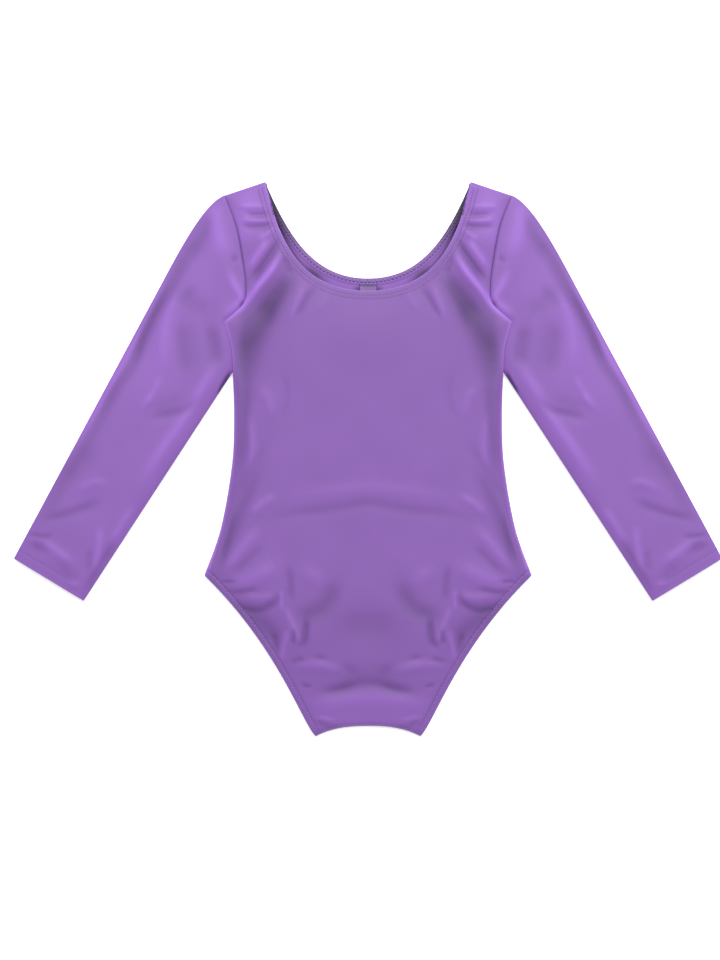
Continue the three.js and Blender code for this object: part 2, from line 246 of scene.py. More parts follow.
def graded(steps: int, crowding: float) -> Array:
    """Shares from 0 to 1 that crowd towards both ends, so that hems get the finest mesh."""
    t = np.linspace(0, 1, steps + 1)
    return t - crowding * np.sin(2 * np.pi * t) / (2 * np.pi)


# ---------- meshes ----------


def shell_faces(rows: int, columns: int, turn: Turn) -> Array:
    """Faces of a closed cloth wall made of two grids of points, the outer one first.

    Args:
        rows: Rows of points.
        columns: Columns of points.
        turn: Whether the last column joins the first.

    Returns:
        Four corner numbers for each face.
    """
    ids = np.arange(rows * columns).reshape(rows, columns)
    if turn is Turn.CLOSED:
        ids = np.concatenate([ids, ids[:, :1]], axis=1)
    inner = ids + rows * columns

    def quads(a: Array, b: Array, c: Array, d: Array) -> Array:
        """Faces from four grids of corner numbers."""
        return np.stack([a, b, c, d], axis=-1).reshape(-1, 4)

    faces = [
        quads(ids[:-1, :-1], ids[1:, :-1], ids[1:, 1:], ids[:-1, 1:]),
        quads(inner[:-1, :-1], inner[:-1, 1:], inner[1:, 1:], inner[1:, :-1]),
        quads(ids[0, :-1], ids[0, 1:], inner[0, 1:], inner[0, :-1]),
        quads(ids[-1, :-1], inner[-1, :-1], inner[-1, 1:], ids[-1, 1:]),
    ]
    if turn is Turn.OPEN:
        faces.append(quads(ids[:-1, 0], inner[:-1, 0], inner[1:, 0], ids[1:, 0]))
        faces.append(quads(ids[:-1, -1], ids[1:, -1], inner[1:, -1], inner[:-1, -1]))
    return np.concatenate(faces)


def raised(plan: Array, height: Array) -> Array:
    """Places in plan with their heights, one for each."""
    return np.concatenate([plan, height.reshape(*plan.shape[:-1], 1)], axis=-1)


def lining_of(outer: Array, thickness: float, turn: Turn = Turn.OPEN) -> Array:
    """The grid one cloth thickness behind another, on its right-hand side.

    Args:
        outer: Rows by columns of points.
        thickness: Distance between the two grids, negative for the other side.
        turn: Whether the last column joins the first.

    Returns:
        The second grid.
    """
    down = np.gradient(outer, axis=0)
    if turn is Turn.CLOSED:
        over = np.roll(outer, -1, axis=1) - np.roll(outer, 1, axis=1)
    else:
        over = np.gradient(outer, axis=1)
    normal = np.cross(over, down)
    normal /= np.maximum(np.linalg.norm(normal, axis=-1, keepdims=True), 1e-12)
    return outer - normal * thickness


def make_mesh(
    name: str,
    points: Array,
    faces: Array,
    flat: Array | None = None,
    tone: Array | None = None,
) -> bpy.types.Object:
    """Makes a mesh object whose faces look outwards.

    Args:
        name: Name of the piece.
        points: Corner points in millimetres.
        faces: Four corner numbers for each face.
        flat: Place of each point on the flat cloth in millimetres, for the knit.
        tone: Painted light and shade, as a shift from the cloth's own colour, from -2 for deep shade to
            1.

    Returns:
        The object, in the scene.
    """
    a, b, c, d = (points[faces[:, k]] for k in range(4))
    halves = (np.einsum("ij,ij->i", a, np.cross(*pair)).sum() for pair in ((b, c), (c, d)))
    if sum(halves) < 0:
        faces = faces[:, ::-1]
    mesh = bpy.data.meshes.new(name)
    mesh.vertices.add(len(points))
    mesh.vertices.foreach_set("co", (points * MM).astype(np.float32).ravel())
    mesh.loops.add(faces.size)
    mesh.loops.foreach_set("vertex_index", faces.astype(np.int32).ravel())
    mesh.polygons.add(len(faces))
    mesh.polygons.foreach_set("loop_start", np.arange(0, faces.size, 4, dtype=np.int32))
    mesh.polygons.foreach_set("use_smooth", np.ones(len(faces), bool))
    mesh.update(calc_edges=True)
    layer = mesh.uv_layers.new(name="flat")
    cut = points[:, :2] if flat is None else flat
    layer.data.foreach_set("uv", cut[faces.ravel()].astype(np.float32).ravel())
    shade = mesh.attributes.new("tone", "FLOAT", "POINT")
    shade.data.foreach_set("value", (np.zeros(len(points)) if tone is None else tone).astype(np.float32))
    piece = bpy.data.objects.new(name, mesh)
    bpy.context.scene.collection.objects.link(piece)
    return piece


def cloth_wall(
    name: str,
    outer: Array,
    inner: Array,
    turn: Turn = Turn.OPEN,
    flat: Array | None = None,
    tone: Array | None = None,
    inner_tone: Array | None = None,
) -> bpy.types.Object:
    """A closed wall of cloth between two grids of points.

    Args:
        name: Name of the piece.
        outer: Rows by columns of points on the outside.
        inner: The same on the inside.
        turn: Whether the last column joins the first.
        flat: Place of each outer point on the flat cloth.
        tone: Painted light and shade of each outer point.
        inner_tone: Painted light and shade of each inner point.

    Returns:
        The piece.
    """
    rows, columns = outer.shape[:2]
    points = np.concatenate([outer.reshape(-1, 3), inner.reshape(-1, 3)])
    cut = None if flat is None else np.tile(flat.reshape(-1, 2), (2, 1))
    count = rows * columns
    tones = [np.zeros(count) if layer is None else layer.ravel() for layer in (tone, inner_tone)]
    shade = np.concatenate(tones)
    return make_mesh(name, points, shell_faces(rows, columns, turn), cut, shade)


def thread_runs(
    name: str,
    runs: Array,
    radius: float,
    taper: float = 0.45,
    tones: Array | None = None,
) -> bpy.types.Object:
    """Short lengths of sewing thread, each a six-sided tube that is thinner at its ends.

    Args:
        name: Name of the piece.
        runs: Number of runs by points in each by three coordinates.
        radius: Radius in the middle of a run.
        taper: Share of the radius that is left at its ends.
        tones: Painted shade of each run, from -2 for deep shade to 0.

    Returns:
        One piece that holds all the runs.
    """
    count, steps = runs.shape[:2]
    sides = 6
    ahead = np.gradient(runs, axis=1)
    ahead /= np.linalg.norm(ahead, axis=-1, keepdims=True)
    across = np.cross(ahead, [0.0, 0.0, 1.0])
    across /= np.maximum(np.linalg.norm(across, axis=-1, keepdims=True), 1e-9)
    upward = np.cross(across, ahead)
    thick = radius * (taper + (1 - taper) * np.sin(np.linspace(0, np.pi, steps)) ** 0.5)
    angles = np.arange(sides) * 2 * np.pi / sides
    ring = across[:, :, None] * np.cos(angles)[:, None] + upward[:, :, None] * np.sin(angles)[:, None]
    points = runs[:, :, None] + ring * thick[None, :, None, None]
    ids = np.arange(count * steps * sides).reshape(count, steps, sides)
    beside = np.roll(ids, -1, axis=2)
    walls = np.stack([ids[:, :-1], beside[:, :-1], beside[:, 1:], ids[:, 1:]], axis=-1).reshape(-1, 4)
    first, last = ids[:, 0], ids[:, -1]
    caps = [
        first[:, [3, 2, 1, 0]],
        first[:, [5, 4, 3, 0]],
        last[:, [0, 1, 2, 3]],
        last[:, [0, 3, 4, 5]],
    ]
    tone = None if tones is None else np.repeat(tones, steps * sides)
    return make_mesh(name, points.reshape(-1, 3), np.concatenate([walls, *caps]), tone=tone)


# ---------- the pattern ----------


@dataclass(frozen=True)
class Pattern:
    """Cut lines of the laid garment: half widths and heights of its corners, as in the CAD part."""

    hip: tuple[float, float] = (151.0, -107.0)
    waist: tuple[float, float] = (123.5, 35.0)
    underarm: tuple[float, float] = (124.6, 80.0)
    armpit: tuple[float, float] = (132.5, 126.5)
    armhole: tuple[float, float] = (112.5, 160.0)
    shoulder: tuple[float, float] = (132.2, 243.0)
    neck_point: tuple[float, float] = (94.8, 255.5)
    front_neck_y: float = 155.0
    back_neck_y: float = 166.7
    crotch: tuple[float, float] = (48.0, -255.5)
    crotch_rise: float = 9.4
    sleeve_length: float = 319.0
    sleeve_angle: float = 31.3
    cuff_width: float = 75.5
    cap_out: float = 66.0
    cap_drop: float = 96.3
    cloth: float = 0.9

    @classmethod
    def from_frame(cls) -> "Pattern":
        """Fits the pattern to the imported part.

        Returns:
            The pattern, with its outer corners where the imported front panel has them.
        """
        low, high = (np.array(corner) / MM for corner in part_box("front_panel"))
        plain = cls()
        return replace(
            plain,
            hip=(float(high[0]), plain.hip[1]),
            neck_point=(plain.neck_point[0], float(high[1])),
            crotch=(plain.crotch[0], float(low[1])),
        )

    @cached_property
    def side(self) -> PlanLine:
        """The side seam.

        Returns:
            The line from the hip up to the underarm.
        """
        (hip_x, hip_y), (waist_x, waist_y) = self.hip, self.waist
        low = (mix(waist_x, hip_x, 0.45), mix(hip_y, waist_y, 0.3))
        high = (mix(waist_x, hip_x, 0.08), mix(hip_y, waist_y, 0.7))
        return spline([self.hip, low, high, self.waist, self.underarm])

    @cached_property
    def flap(self) -> PlanLine:
        """The short edge where the body laps over the sleeve.

        Returns:
            The line from the underarm to the armpit's corner.
        """
        (under_x, under_y), (pit_x, pit_y) = self.underarm, self.armpit
        middle = (mix(under_x, pit_x, 0.2), mix(under_y, pit_y, 0.5))
        return spline([self.underarm, middle, self.armpit])

    @cached_property
    def flank(self) -> PlanLine:
        """The edge from the hip up to the armpit's corner."""
        return self.side.then(self.flap)

    @cached_property
    def armhole_edge(self) -> PlanLine:
        """The armhole.

        Returns:
            The line from the armpit's corner to the shoulder point.
        """
        (hole_x, hole_y), (top_x, top_y) = self.armhole, self.shoulder
        return spline(
            [
                self.armpit,
                (hole_x + 2, mix(self.armpit[1], hole_y, 0.5)),
                self.armhole,
                (mix(hole_x, top_x, 0.16), mix(hole_y, top_y, 0.3)),
                (mix(hole_x, top_x, 0.46), mix(hole_y, top_y, 0.67)),
                self.shoulder,
            ]
        )

    @cached_property
    def body_edge(self) -> PlanLine:
        """The whole edge of a panel from the hip to the shoulder."""
        return self.flank.then(self.armhole_edge)

    @cached_property
    def leg(self) -> PlanLine:
        """The leg opening.

        Returns:
            The line from the hip to the crotch.
        """
        (hip_x, hip_y), (low_x, low_y) = self.hip, self.crotch
        first = (mix(low_x, hip_x, 0.32), mix(hip_y, low_y, 0.46))
        second = (mix(low_x, hip_x, 0.12), mix(hip_y, low_y, 0.93))
        return bezier([self.hip, first, second, self.crotch])

    @cached_property
    def crotch_edge(self) -> PlanLine:
        """Half of the crotch seam.

        Returns:
            The line from its corner to the middle.
        """
        x, y = self.crotch
        rise = self.crotch_rise
        return bezier([self.crotch, (x * 0.7, y + rise * 0.8), (x * 0.4, y + rise), (0, y + rise)], 36)

    def neckline(self, lowest: float, fullness: float, flare: float) -> PlanLine:
        """Half of a neckline.

        Args:
            lowest: Its height in the middle of the body.
            fullness: How far out it stays level, as a share of the neck point's distance.
            flare: How far out its side leans, likewise.

        Returns:
            The line from the middle of the body out to the neck point.
        """
        x, y = self.neck_point
        return bezier([(0, lowest), (x * fullness, lowest), (x * flare, mix(lowest, y, 0.42)), (x, y)])

    @cached_property
    def front_neck(self) -> PlanLine:
        """Half of the front neckline."""
        return self.neckline(self.front_neck_y, 0.64, 0.86)

    @cached_property
    def back_neck(self) -> PlanLine:
        """Half of the back neckline, which is higher."""
        return self.neckline(self.back_neck_y, 0.52, 0.77)

    @cached_property
    def shoulder_seam(self) -> PlanLine:
        """The shoulder line from the neck point outwards."""
        return PlanLine(np.array([self.neck_point, self.shoulder])).along(12)

    @cached_property
    def cuff_ends(self) -> tuple[Array, Array]:
        """The ends of the cuff.

        Returns:
            Its outer end and its inner end.
        """
        angle = np.radians(self.sleeve_angle)
        middle = (np.array(self.shoulder) + self.underarm) / 2
        middle = middle + np.array([np.sin(angle), -np.cos(angle)]) * self.sleeve_length
        half = np.array([np.cos(angle), np.sin(angle)]) * self.cuff_width / 2
        return middle + half, middle - half

    @cached_property
    def sleeve_outer(self) -> PlanLine:
        """The sleeve's folded outer edge.

        Returns:
            The line from the shoulder over the cap, and straight down to the cuff.
        """
        top = np.array(self.shoulder)
        cap_end = top + [self.cap_out, -self.cap_drop]
        run = self.cuff_ends[0] - cap_end
        run /= np.linalg.norm(run)
        first = top + [self.cap_out * 0.31, -self.cap_drop * 0.08]
        last = cap_end - run * self.cap_drop * 0.47
        cap = bezier([tuple(top), tuple(first), tuple(last), tuple(cap_end)], 40)
        return cap.then(PlanLine(np.array([cap_end, self.cuff_ends[0]])).along(60))

    @cached_property
    def cuff(self) -> PlanLine:
        """The cuff's edge from its outer end to its inner end."""
        return PlanLine(np.array(self.cuff_ends))

    def grid(self, neck: PlanLine, rows: Array, columns: Array) -> Array:
        """Points of a panel whose rows and columns follow its four edges (a Coons patch).

        Args:
            neck: Half of the panel's neckline.
            rows: Shares from the hem to the top.
            columns: Shares from the -X side to the +X side.

        Returns:
            Rows by columns of points in plan.
        """
        lower = self.crotch_edge.reversed().then(self.leg.reversed()).both_halves()
        upper = neck.then(self.shoulder_seam).both_halves()
        edge = self.body_edge.at(rows * self.body_edge.length)
        low, high = lower.at(columns * lower.length), upper.at(columns * upper.length)
        u, v = columns[None, :, None], rows[:, None, None]
        right, left = edge[:, None], edge[:, None] * [-1, 1]
        ruled = low * (1 - v) + high * v + left * (1 - u) + right * u
        corners = (low[0] * (1 - u) + low[-1] * u) * (1 - v) + (high[0] * (1 - u) + high[-1] * u) * v
        return ruled - corners


# ---------- creases ----------


@dataclass(frozen=True)
class Crease:
    """A soft ridge or valley in the cloth.

    Attributes:
        line: Points that it runs through, in plan on the +X side.
        width: Distance from its middle at which it has nearly died away.
        height: Rise of the cloth along it, negative for a valley.
        tone: Painted light along it where positive, painted shade where negative.
    """

    line: tuple[tuple[float, float], ...]
    width: float
    height: float
    tone: float = 0.0

    def strength(self, places: Array) -> Array:
        """How much of the crease is felt at each place.

        Args:
            places: Points in plan.

        Returns:
            A share from 0 to 1 for each.
        """
        path = spline(self.line, 6)
        reach = 3 * self.width
        low, high = path.points.min(axis=0) - reach, path.points.max(axis=0) + reach
        felt = np.zeros(len(places))
        close = np.all((places > low) & (places < high), axis=1)
        if close.any():
            gap, travelled = path.nearest(places[close])
            ends, soft = np.minimum(travelled, path.length - travelled), 0.8 * self.width
            along = ease((ends + soft) / (0.3 * path.length + soft))
            felt[close] = fade(gap, self.width) * along
        return felt


@dataclass(frozen=True)
class Relief:
    """All the creases of one piece, with a slow unevenness under them.

    Attributes:
        creases: The creases.
        unevenness: Height of the slow unevenness.
        phase: Shifts it, so that two pieces differ.
        tone: Painted light or shade of the cloth between the creases.
    """

    creases: tuple[Crease, ...]
    unevenness: float = 0.25
    phase: float = 0.0
    tone: float = 0.0

    def shape(self, places: Array) -> tuple[Array, Array]:
        """Shapes the cloth.

        Args:
            places: Points in plan.

        Returns:
            Rise of the cloth and its tone, painted light and shade, at each place.
        """
        x, y = places[:, 0], places[:, 1]
        slow = np.sin(x / 17 + 1.3 * np.sin(y / 23 + self.phase)) * np.sin(y / 29 + 0.8 * np.sin(x / 19))
        rise, tone = self.unevenness * slow, np.full(len(places), self.tone)
        for crease in self.creases:
            felt = crease.strength(places)
            rise += crease.height * felt
            tone += crease.tone * felt
        return rise, tone


# ---------- materials ----------


def linear(code: str) -> tuple[float, float, float, float]:
    """Turns a colour to linear light.

    Args:
        code: Its sRGB hex code.

    Returns:
        Its red, green, blue and alpha for a shader.
    """
    parts = [int(code[k : k + 2], 16) / 255 for k in (1, 3, 5)]
    r, g, b = (c / 12.92 if c <= 0.04045 else ((c + 0.055) / 1.055) ** 2.4 for c in parts)
    return (r, g, b, 1.0)


def add_node(
    tree: bpy.types.NodeTree,
    kind: str,
    inputs: Mapping[str | int, object],
    settings: Mapping[str, object] | None = None,
) -> bpy.types.Node:
    """Adds a node to a material with its settings, values and links.

    Args:
        tree: The material's node tree.
        kind: Blender's name of the node type.
        inputs: A value or another node's output for each input.
        settings: Values of the node's own properties.

    Returns:
        The node.
    """
    made = tree.nodes.new(kind)
    for key, value in (settings or {}).items():
        setattr(made, key, value)
    for key, value in inputs.items():
        if isinstance(value, bpy.types.NodeSocket):
            tree.links.new(value, made.inputs[key])
        else:
            made.inputs[key].default_value = value
    return made


def new_material(name: str) -> tuple[bpy.types.Material, bpy.types.NodeTree]:
    """Starts a material.

    Args:
        name: What it is made of.

    Returns:
        The material and its empty node tree.
    """
    material = bpy.data.materials.new(name)
    material.use_nodes = True
    material.node_tree.nodes.clear()
    return material, material.node_tree


def wave_scale(spacing: float) -> float:
    """Scale of a wave texture whose bands lie that far apart, in the units of its coordinates."""
    return 2 * np.pi / (20 * spacing)


@dataclass(frozen=True)
class Tricot:
    """Nylon-elastane warp-knit tricot, matt and brushed by wear, with painted light and shade in its
    colour.

    The wales are 0.35 mm apart on the real cloth. They are drawn at 0.9 mm, so that a close look still
    shows the knit. The filaments stand up a little, which gives the pale lilac bloom along every rim.
    Colour follows the tone: deep painted shade at -2, painted shade at -1, its own at 0, painted light at
    1.
    """

    name: str = "nylon_elastane_tricot"
    # Colours along the tone: deep painted shade, painted shade, the cloth's own colour, painted light
    shaded: str = "#24163A"
    bunched: str = "#4E326A"
    colour: str = "#764F99"
    stretched: str = "#9D6BCC"
    sheen: str = "#E3D2F2"
    roughness: float = 0.56
    ior: float = 1.53
    gloss: float = 0.3
    bloom: float = 0.24
    bloom_spread: float = 0.42
    wale: float = 0.9
    course: float = 0.7
    knit_depth: float = 0.05
    knit_strength: float = 0.35
    # Uneven dye: noise scale per millimetre, its detail and the tone that it adds or takes away
    dye_cloud: tuple[float, float, float] = (0.03, 3.0, 0.025)
    dye_speck: tuple[float, float, float] = (1.1, 2.0, 0.03)

    def make(self) -> bpy.types.Material:
        """Builds the material.

        Returns:
            The material.
        """
        material, tree = new_material(self.name)
        flat = add_node(tree, "ShaderNodeUVMap", {}, {"uv_map": "flat"}).outputs["UV"]
        level = add_node(tree, "ShaderNodeAttribute", {}, {"attribute_name": "tone"}).outputs["Fac"]
        for scale, detail, reach in (self.dye_cloud, self.dye_speck):
            noise = add_node(
                tree, "ShaderNodeTexNoise", {"Vector": flat, "Scale": scale, "Detail": detail}
            )
            shift = add_node(
                tree,
                "ShaderNodeMapRange",
                {"Value": noise.outputs["Fac"], 1: 0.3, 2: 0.7, 3: -reach, 4: reach},
            )
            level = add_node(tree, "ShaderNodeMath", {0: level, 1: shift.outputs[0]}).outputs[0]
        # Painted light and shade: the tone, with the random dye added, picks a colour from deep painted
        # shade to painted light
        share = add_node(tree, "ShaderNodeMapRange", {"Value": level, 1: -2.0, 2: 2.0})
        ramp = add_node(tree, "ShaderNodeValToRGB", {"Fac": share.outputs[0]})
        stops = ramp.color_ramp.elements
        stops[0].color, stops[1].color = linear(self.shaded), linear(self.stretched)
        stops[1].position = 0.75
        stops.new(0.25).color = linear(self.bunched)
        stops.new(0.5).color = linear(self.colour)
        wales = add_node(
            tree,
            "ShaderNodeTexWave",
            {"Vector": flat, "Scale": wave_scale(self.wale), "Distortion": 0.4},
        )
        courses = add_node(
            tree,
            "ShaderNodeTexWave",
            {"Vector": flat, "Scale": wave_scale(self.course), "Distortion": 0.4},
            {"bands_direction": "Y"},
        )
        knit = add_node(
            tree,
            "ShaderNodeMath",
            {0: wales.outputs["Fac"], 1: courses.outputs["Fac"]},
            {"operation": "MULTIPLY"},
        )
        bump = add_node(
            tree,
            "ShaderNodeBump",
            {
                "Height": knit.outputs[0],
                "Strength": self.knit_strength,
                "Distance": self.knit_depth * MM,
            },
        )
        cloth = add_node(
            tree,
            "ShaderNodeBsdfPrincipled",
            {
                "Base Color": ramp.outputs["Color"],
                "Roughness": self.roughness,
                "IOR": self.ior,
                "Specular IOR Level": self.gloss,
                "Sheen Weight": self.bloom,
                "Sheen Roughness": self.bloom_spread,
                "Sheen Tint": linear(self.sheen),
                "Normal": bump.outputs["Normal"],
            },
        )
        add_node(tree, "ShaderNodeOutputMaterial", {"Surface": cloth.outputs["BSDF"]})
        return material


@dataclass(frozen=True)
class SewingThread:
    """Textured polyester sewing thread: two plies with a soft lustre, a shade off the cloth.

    The plies cross the thread every 0.5 mm, drawn as fine slanting ridges. Where a stitch goes down into
    the cloth its colour is darkened with painted shade, by its tone: 0 on top, -2 in deep shade.
    """

    name: str
    colour: str
    deep: str
    shaded: str = "#2B1D3D"
    roughness: float = 0.5
    ior: float = 1.54
    fuzz: float = 0.15
    ply: float = 0.5
    ply_depth: float = 0.05

    def make(self) -> bpy.types.Material:
        """Builds the material.

        Returns:
            The material.
        """
        material, tree = new_material(self.name)
        flat = add_node(tree, "ShaderNodeUVMap", {}, {"uv_map": "flat"}).outputs["UV"]
        plies = add_node(
            tree,
            "ShaderNodeTexWave",
            {"Vector": flat, "Scale": wave_scale(self.ply), "Distortion": 1.0},
            {"bands_direction": "DIAGONAL"},
        )
        colour = add_node(
            tree,
            "ShaderNodeMix",
            {"Factor": plies.outputs["Fac"], 6: linear(self.deep), 7: linear(self.colour)},
            {"data_type": "RGBA"},
        )
        # Painted shade: the tone darkens the thread towards its shaded colour
        tone = add_node(tree, "ShaderNodeAttribute", {}, {"attribute_name": "tone"}).outputs["Fac"]
        painted_shade_share = add_node(tree, "ShaderNodeMapRange", {"Value": tone, 1: 0.0, 2: -2.0})
        sunk = add_node(
            tree,
            "ShaderNodeMix",
            {"Factor": painted_shade_share.outputs[0], 6: colour.outputs[2], 7: linear(self.shaded)},
            {"data_type": "RGBA"},
        )
        bump = add_node(
            tree,
            "ShaderNodeBump",
            {"Height": plies.outputs["Fac"], "Strength": 0.5, "Distance": self.ply_depth * MM},
        )
        thread = add_node(
            tree,
            "ShaderNodeBsdfPrincipled",
            {
                "Base Color": sunk.outputs[2],
                "Roughness": self.roughness,
                "IOR": self.ior,
                "Sheen Weight": self.fuzz,
                "Normal": bump.outputs["Normal"],
            },
        )
        add_node(tree, "ShaderNodeOutputMaterial", {"Surface": thread.outputs["BSDF"]})
        return material


@dataclass(frozen=True)
class BraidedElastic:
    """Braided elastic of polyester over rubber, off-white, ribbed along its length.

    The ribs are 1.1 mm apart, with the braid's slant across them every 1.6 mm.
    """

    name: str = "braided_elastic"
    colour: str = "#E9E6EA"
    deep: str = "#C9C3CE"
    roughness: float = 0.75
    ior: float = 1.52
    rib: float = 1.1
    braid: float = 1.6
    rib_depth: float = 0.15

    def make(self) -> bpy.types.Material:
        """Builds the material.

        Returns:
            The material.
        """
        material, tree = new_material(self.name)
        flat = add_node(tree, "ShaderNodeUVMap", {}, {"uv_map": "flat"}).outputs["UV"]
        ribs = add_node(tree, "ShaderNodeTexWave", {"Vector": flat, "Scale": wave_scale(self.rib)})
        braid = add_node(
            tree,
            "ShaderNodeTexWave",
            {"Vector": flat, "Scale": wave_scale(self.braid)},
            {"bands_direction": "DIAGONAL"},
        )
        relief = add_node(tree, "ShaderNodeMath", {0: ribs.outputs["Fac"], 1: braid.outputs["Fac"]})
        colour = add_node(
            tree,
            "ShaderNodeMix",
            {"Factor": braid.outputs["Fac"], 6: linear(self.deep), 7: linear(self.colour)},
            {"data_type": "RGBA"},
        )
        bump = add_node(
            tree,
            "ShaderNodeBump",
            {"Height": relief.outputs[0], "Strength": 0.5, "Distance": self.rib_depth * MM},
        )
        band = add_node(
            tree,
            "ShaderNodeBsdfPrincipled",
            {
                "Base Color": colour.outputs[2],
                "Roughness": self.roughness,
                "IOR": self.ior,
                "Normal": bump.outputs["Normal"],
            },
        )
        add_node(tree, "ShaderNodeOutputMaterial", {"Surface": band.outputs["BSDF"]})
        return material


@dataclass(frozen=True)
class SatinTape:
    """Woven satin label tape in the cloth's colour, unprinted: long floats give it a sideways gloss.

    The floats are 0.4 mm apart.
    """

    name: str = "woven_satin_tape"
    colour: str = "#6A498B"
    deep: str = "#5A3D79"
    roughness: float = 0.38
    ior: float = 1.53
    sideways_gloss: float = 0.4
    float_spacing: float = 0.4
    float_depth: float = 0.03

    def make(self) -> bpy.types.Material:
        """Builds the material.

        Returns:
            The material.
        """
        material, tree = new_material(self.name)
        flat = add_node(tree, "ShaderNodeUVMap", {}, {"uv_map": "flat"}).outputs["UV"]
        floats = add_node(
            tree,
            "ShaderNodeTexWave",
            {"Vector": flat, "Scale": wave_scale(self.float_spacing)},
            {"bands_direction": "Y"},
        )
        colour = add_node(
            tree,
            "ShaderNodeMix",
            {"Factor": floats.outputs["Fac"], 6: linear(self.deep), 7: linear(self.colour)},
            {"data_type": "RGBA"},
        )
        bump = add_node(
            tree,
            "ShaderNodeBump",
            {"Height": floats.outputs["Fac"], "Strength": 0.4, "Distance": self.float_depth * MM},
        )
        tape = add_node(
            tree,
            "ShaderNodeBsdfPrincipled",
            {
                "Base Color": colour.outputs[2],
                "Roughness": self.roughness,
                "IOR": self.ior,
                "Anisotropic": self.sideways_gloss,
                "Normal": bump.outputs["Normal"],
            },
        )
        add_node(tree, "ShaderNodeOutputMaterial", {"Surface": tape.outputs["BSDF"]})
        return material


@dataclass(frozen=True)
class PaperSweep:
    """Matt white background paper on a lit table, so bright that shadows hardly show on it.

    Its fibres are about 1 mm long and lie flat, which takes away all gloss.
    """

    name: str = "lit_background_paper"
    colour: str = "#FAFAFA"
    roughness: float = 0.9
    gloss: float = 0.1
    glow: float = 0.5
    fibre_scale: float = 900.0
    fibre_depth: float = 0.05

    def make(self) -> bpy.types.Material:
        """Builds the material.

        Returns:
            The material.
        """
        material, tree = new_material(self.name)
        place = add_node(tree, "ShaderNodeTexCoord", {}).outputs["Object"]
        fibres = add_node(
            tree,
            "ShaderNodeTexNoise",
            {"Vector": place, "Scale": self.fibre_scale, "Detail": 2.0},
        )
        bump = add_node(
            tree,
            "ShaderNodeBump",
            {"Height": fibres.outputs["Fac"], "Strength": 0.05, "Distance": self.fibre_depth * MM},
        )
        paper = add_node(
            tree,
            "ShaderNodeBsdfPrincipled",
            {
                "Base Color": linear(self.colour),
                "Roughness": self.roughness,
                "Specular IOR Level": self.gloss,
                "Emission Color": linear(self.colour),
                "Emission Strength": self.glow,
                "Normal": bump.outputs["Normal"],
            },
        )
        add_node(tree, "ShaderNodeOutputMaterial", {"Surface": paper.outputs["BSDF"]})
        return material


@dataclass(frozen=True)
class Finishes:
    """The materials of the garment, made once and shared."""

    cloth: bpy.types.Material = field(default_factory=lambda: Tricot().make())
    thread: bpy.types.Material = field(
        default_factory=lambda: SewingThread("polyester_sewing_thread", "#8A63AE", "#6E4E90").make()
    )
    overlock: bpy.types.Material = field(
        default_factory=lambda: SewingThread("polyester_overlock_thread", "#937CAA", "#765D92").make()
    )
    elastic: bpy.types.Material = field(default_factory=lambda: BraidedElastic().make())
    label: bpy.types.Material = field(default_factory=lambda: SatinTape().make())


def dress(
    piece: bpy.types.Object,
    material: bpy.types.Material,
    nodes: Sequence[str],
    body: str | None = "torso",
) -> bpy.types.Object:
    """Gives a piece its finish and its place in the frame.

    Args:
        piece: The piece.
        material: Its material.
        nodes: The CAD nodes that it stands for.
        body: The body that it rides on, or None for a piece that spans two and rides on neither.

    Returns:
        The piece.
    """
    piece.data.materials.append(material)
    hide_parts(*nodes)
    if body:
        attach(piece, body)
    report.info("%s: %d corners, stands for %s", piece.name, len(piece.data.vertices), ", ".join(nodes))
    return piece


# ---------- the body ----------


@dataclass(frozen=True)
class EdgeProfile:
    """How a panel's edge turns down or up, keyed by the height along the body where it does.

    Attributes:
        y: Places along the body.
        edge: Height of the cloth at the very edge.
        reach: Distance from the edge over which it turns.
    """

    y: tuple[float, ...]
    edge: tuple[float, ...]
    reach: tuple[float, ...]

    def at(self, y: Array) -> tuple[Array, Array]:
        """Edge height and reach at these places."""
        return np.interp(y, self.y, self.edge), np.interp(y, self.y, self.reach)


@dataclass(frozen=True)
class Hem:
    """A turned edge, stitched down, that stands a little proud of the cloth beside it.

    Attributes:
        width: Width of cloth that is turned under.
        firmness: How strongly it shows, from 0 to 1.
        rise: How far the turned cloth stands over the cloth beside it.
        pucker: Distance between the puckers that its stitches pull.
    """

    width: float
    firmness: float
    rise: float = 0.45
    pucker: float = 5.3

    def shape(self, gap: Array, travelled: Array) -> tuple[Array, Array]:
        """Shapes the cloth beside the edge.

        Args:
            gap: Distances from the edge.
            travelled: Distances along it.

        Returns:
            Rise of the cloth, with a groove along the stitches, and its tone: painted shade in the
            groove.
        """
        turned = ease((self.width + 0.9 - gap) / 1.8)
        pucker = 0.5 + 0.5 * np.sin(2 * np.pi * travelled / self.pucker + 1.5 * np.sin(travelled / 31))
        groove = fade(gap - self.width - 0.4, 1.2)
        rise = self.rise * turned - (0.3 + 0.4 * pucker) * groove
        # Painted shade in the groove along the stitches, deeper at each pucker, and a little darker over
        # the turned cloth
        tone = (0.2 + 0.25 * pucker) * groove + 0.08 * turned
        return self.firmness * rise, -self.firmness * tone


class Stitch(Enum):
    """How a row of machine stitches looks from above."""

    TWIN_ROWS = "twin rows"
    ZIGZAG = "zigzag"


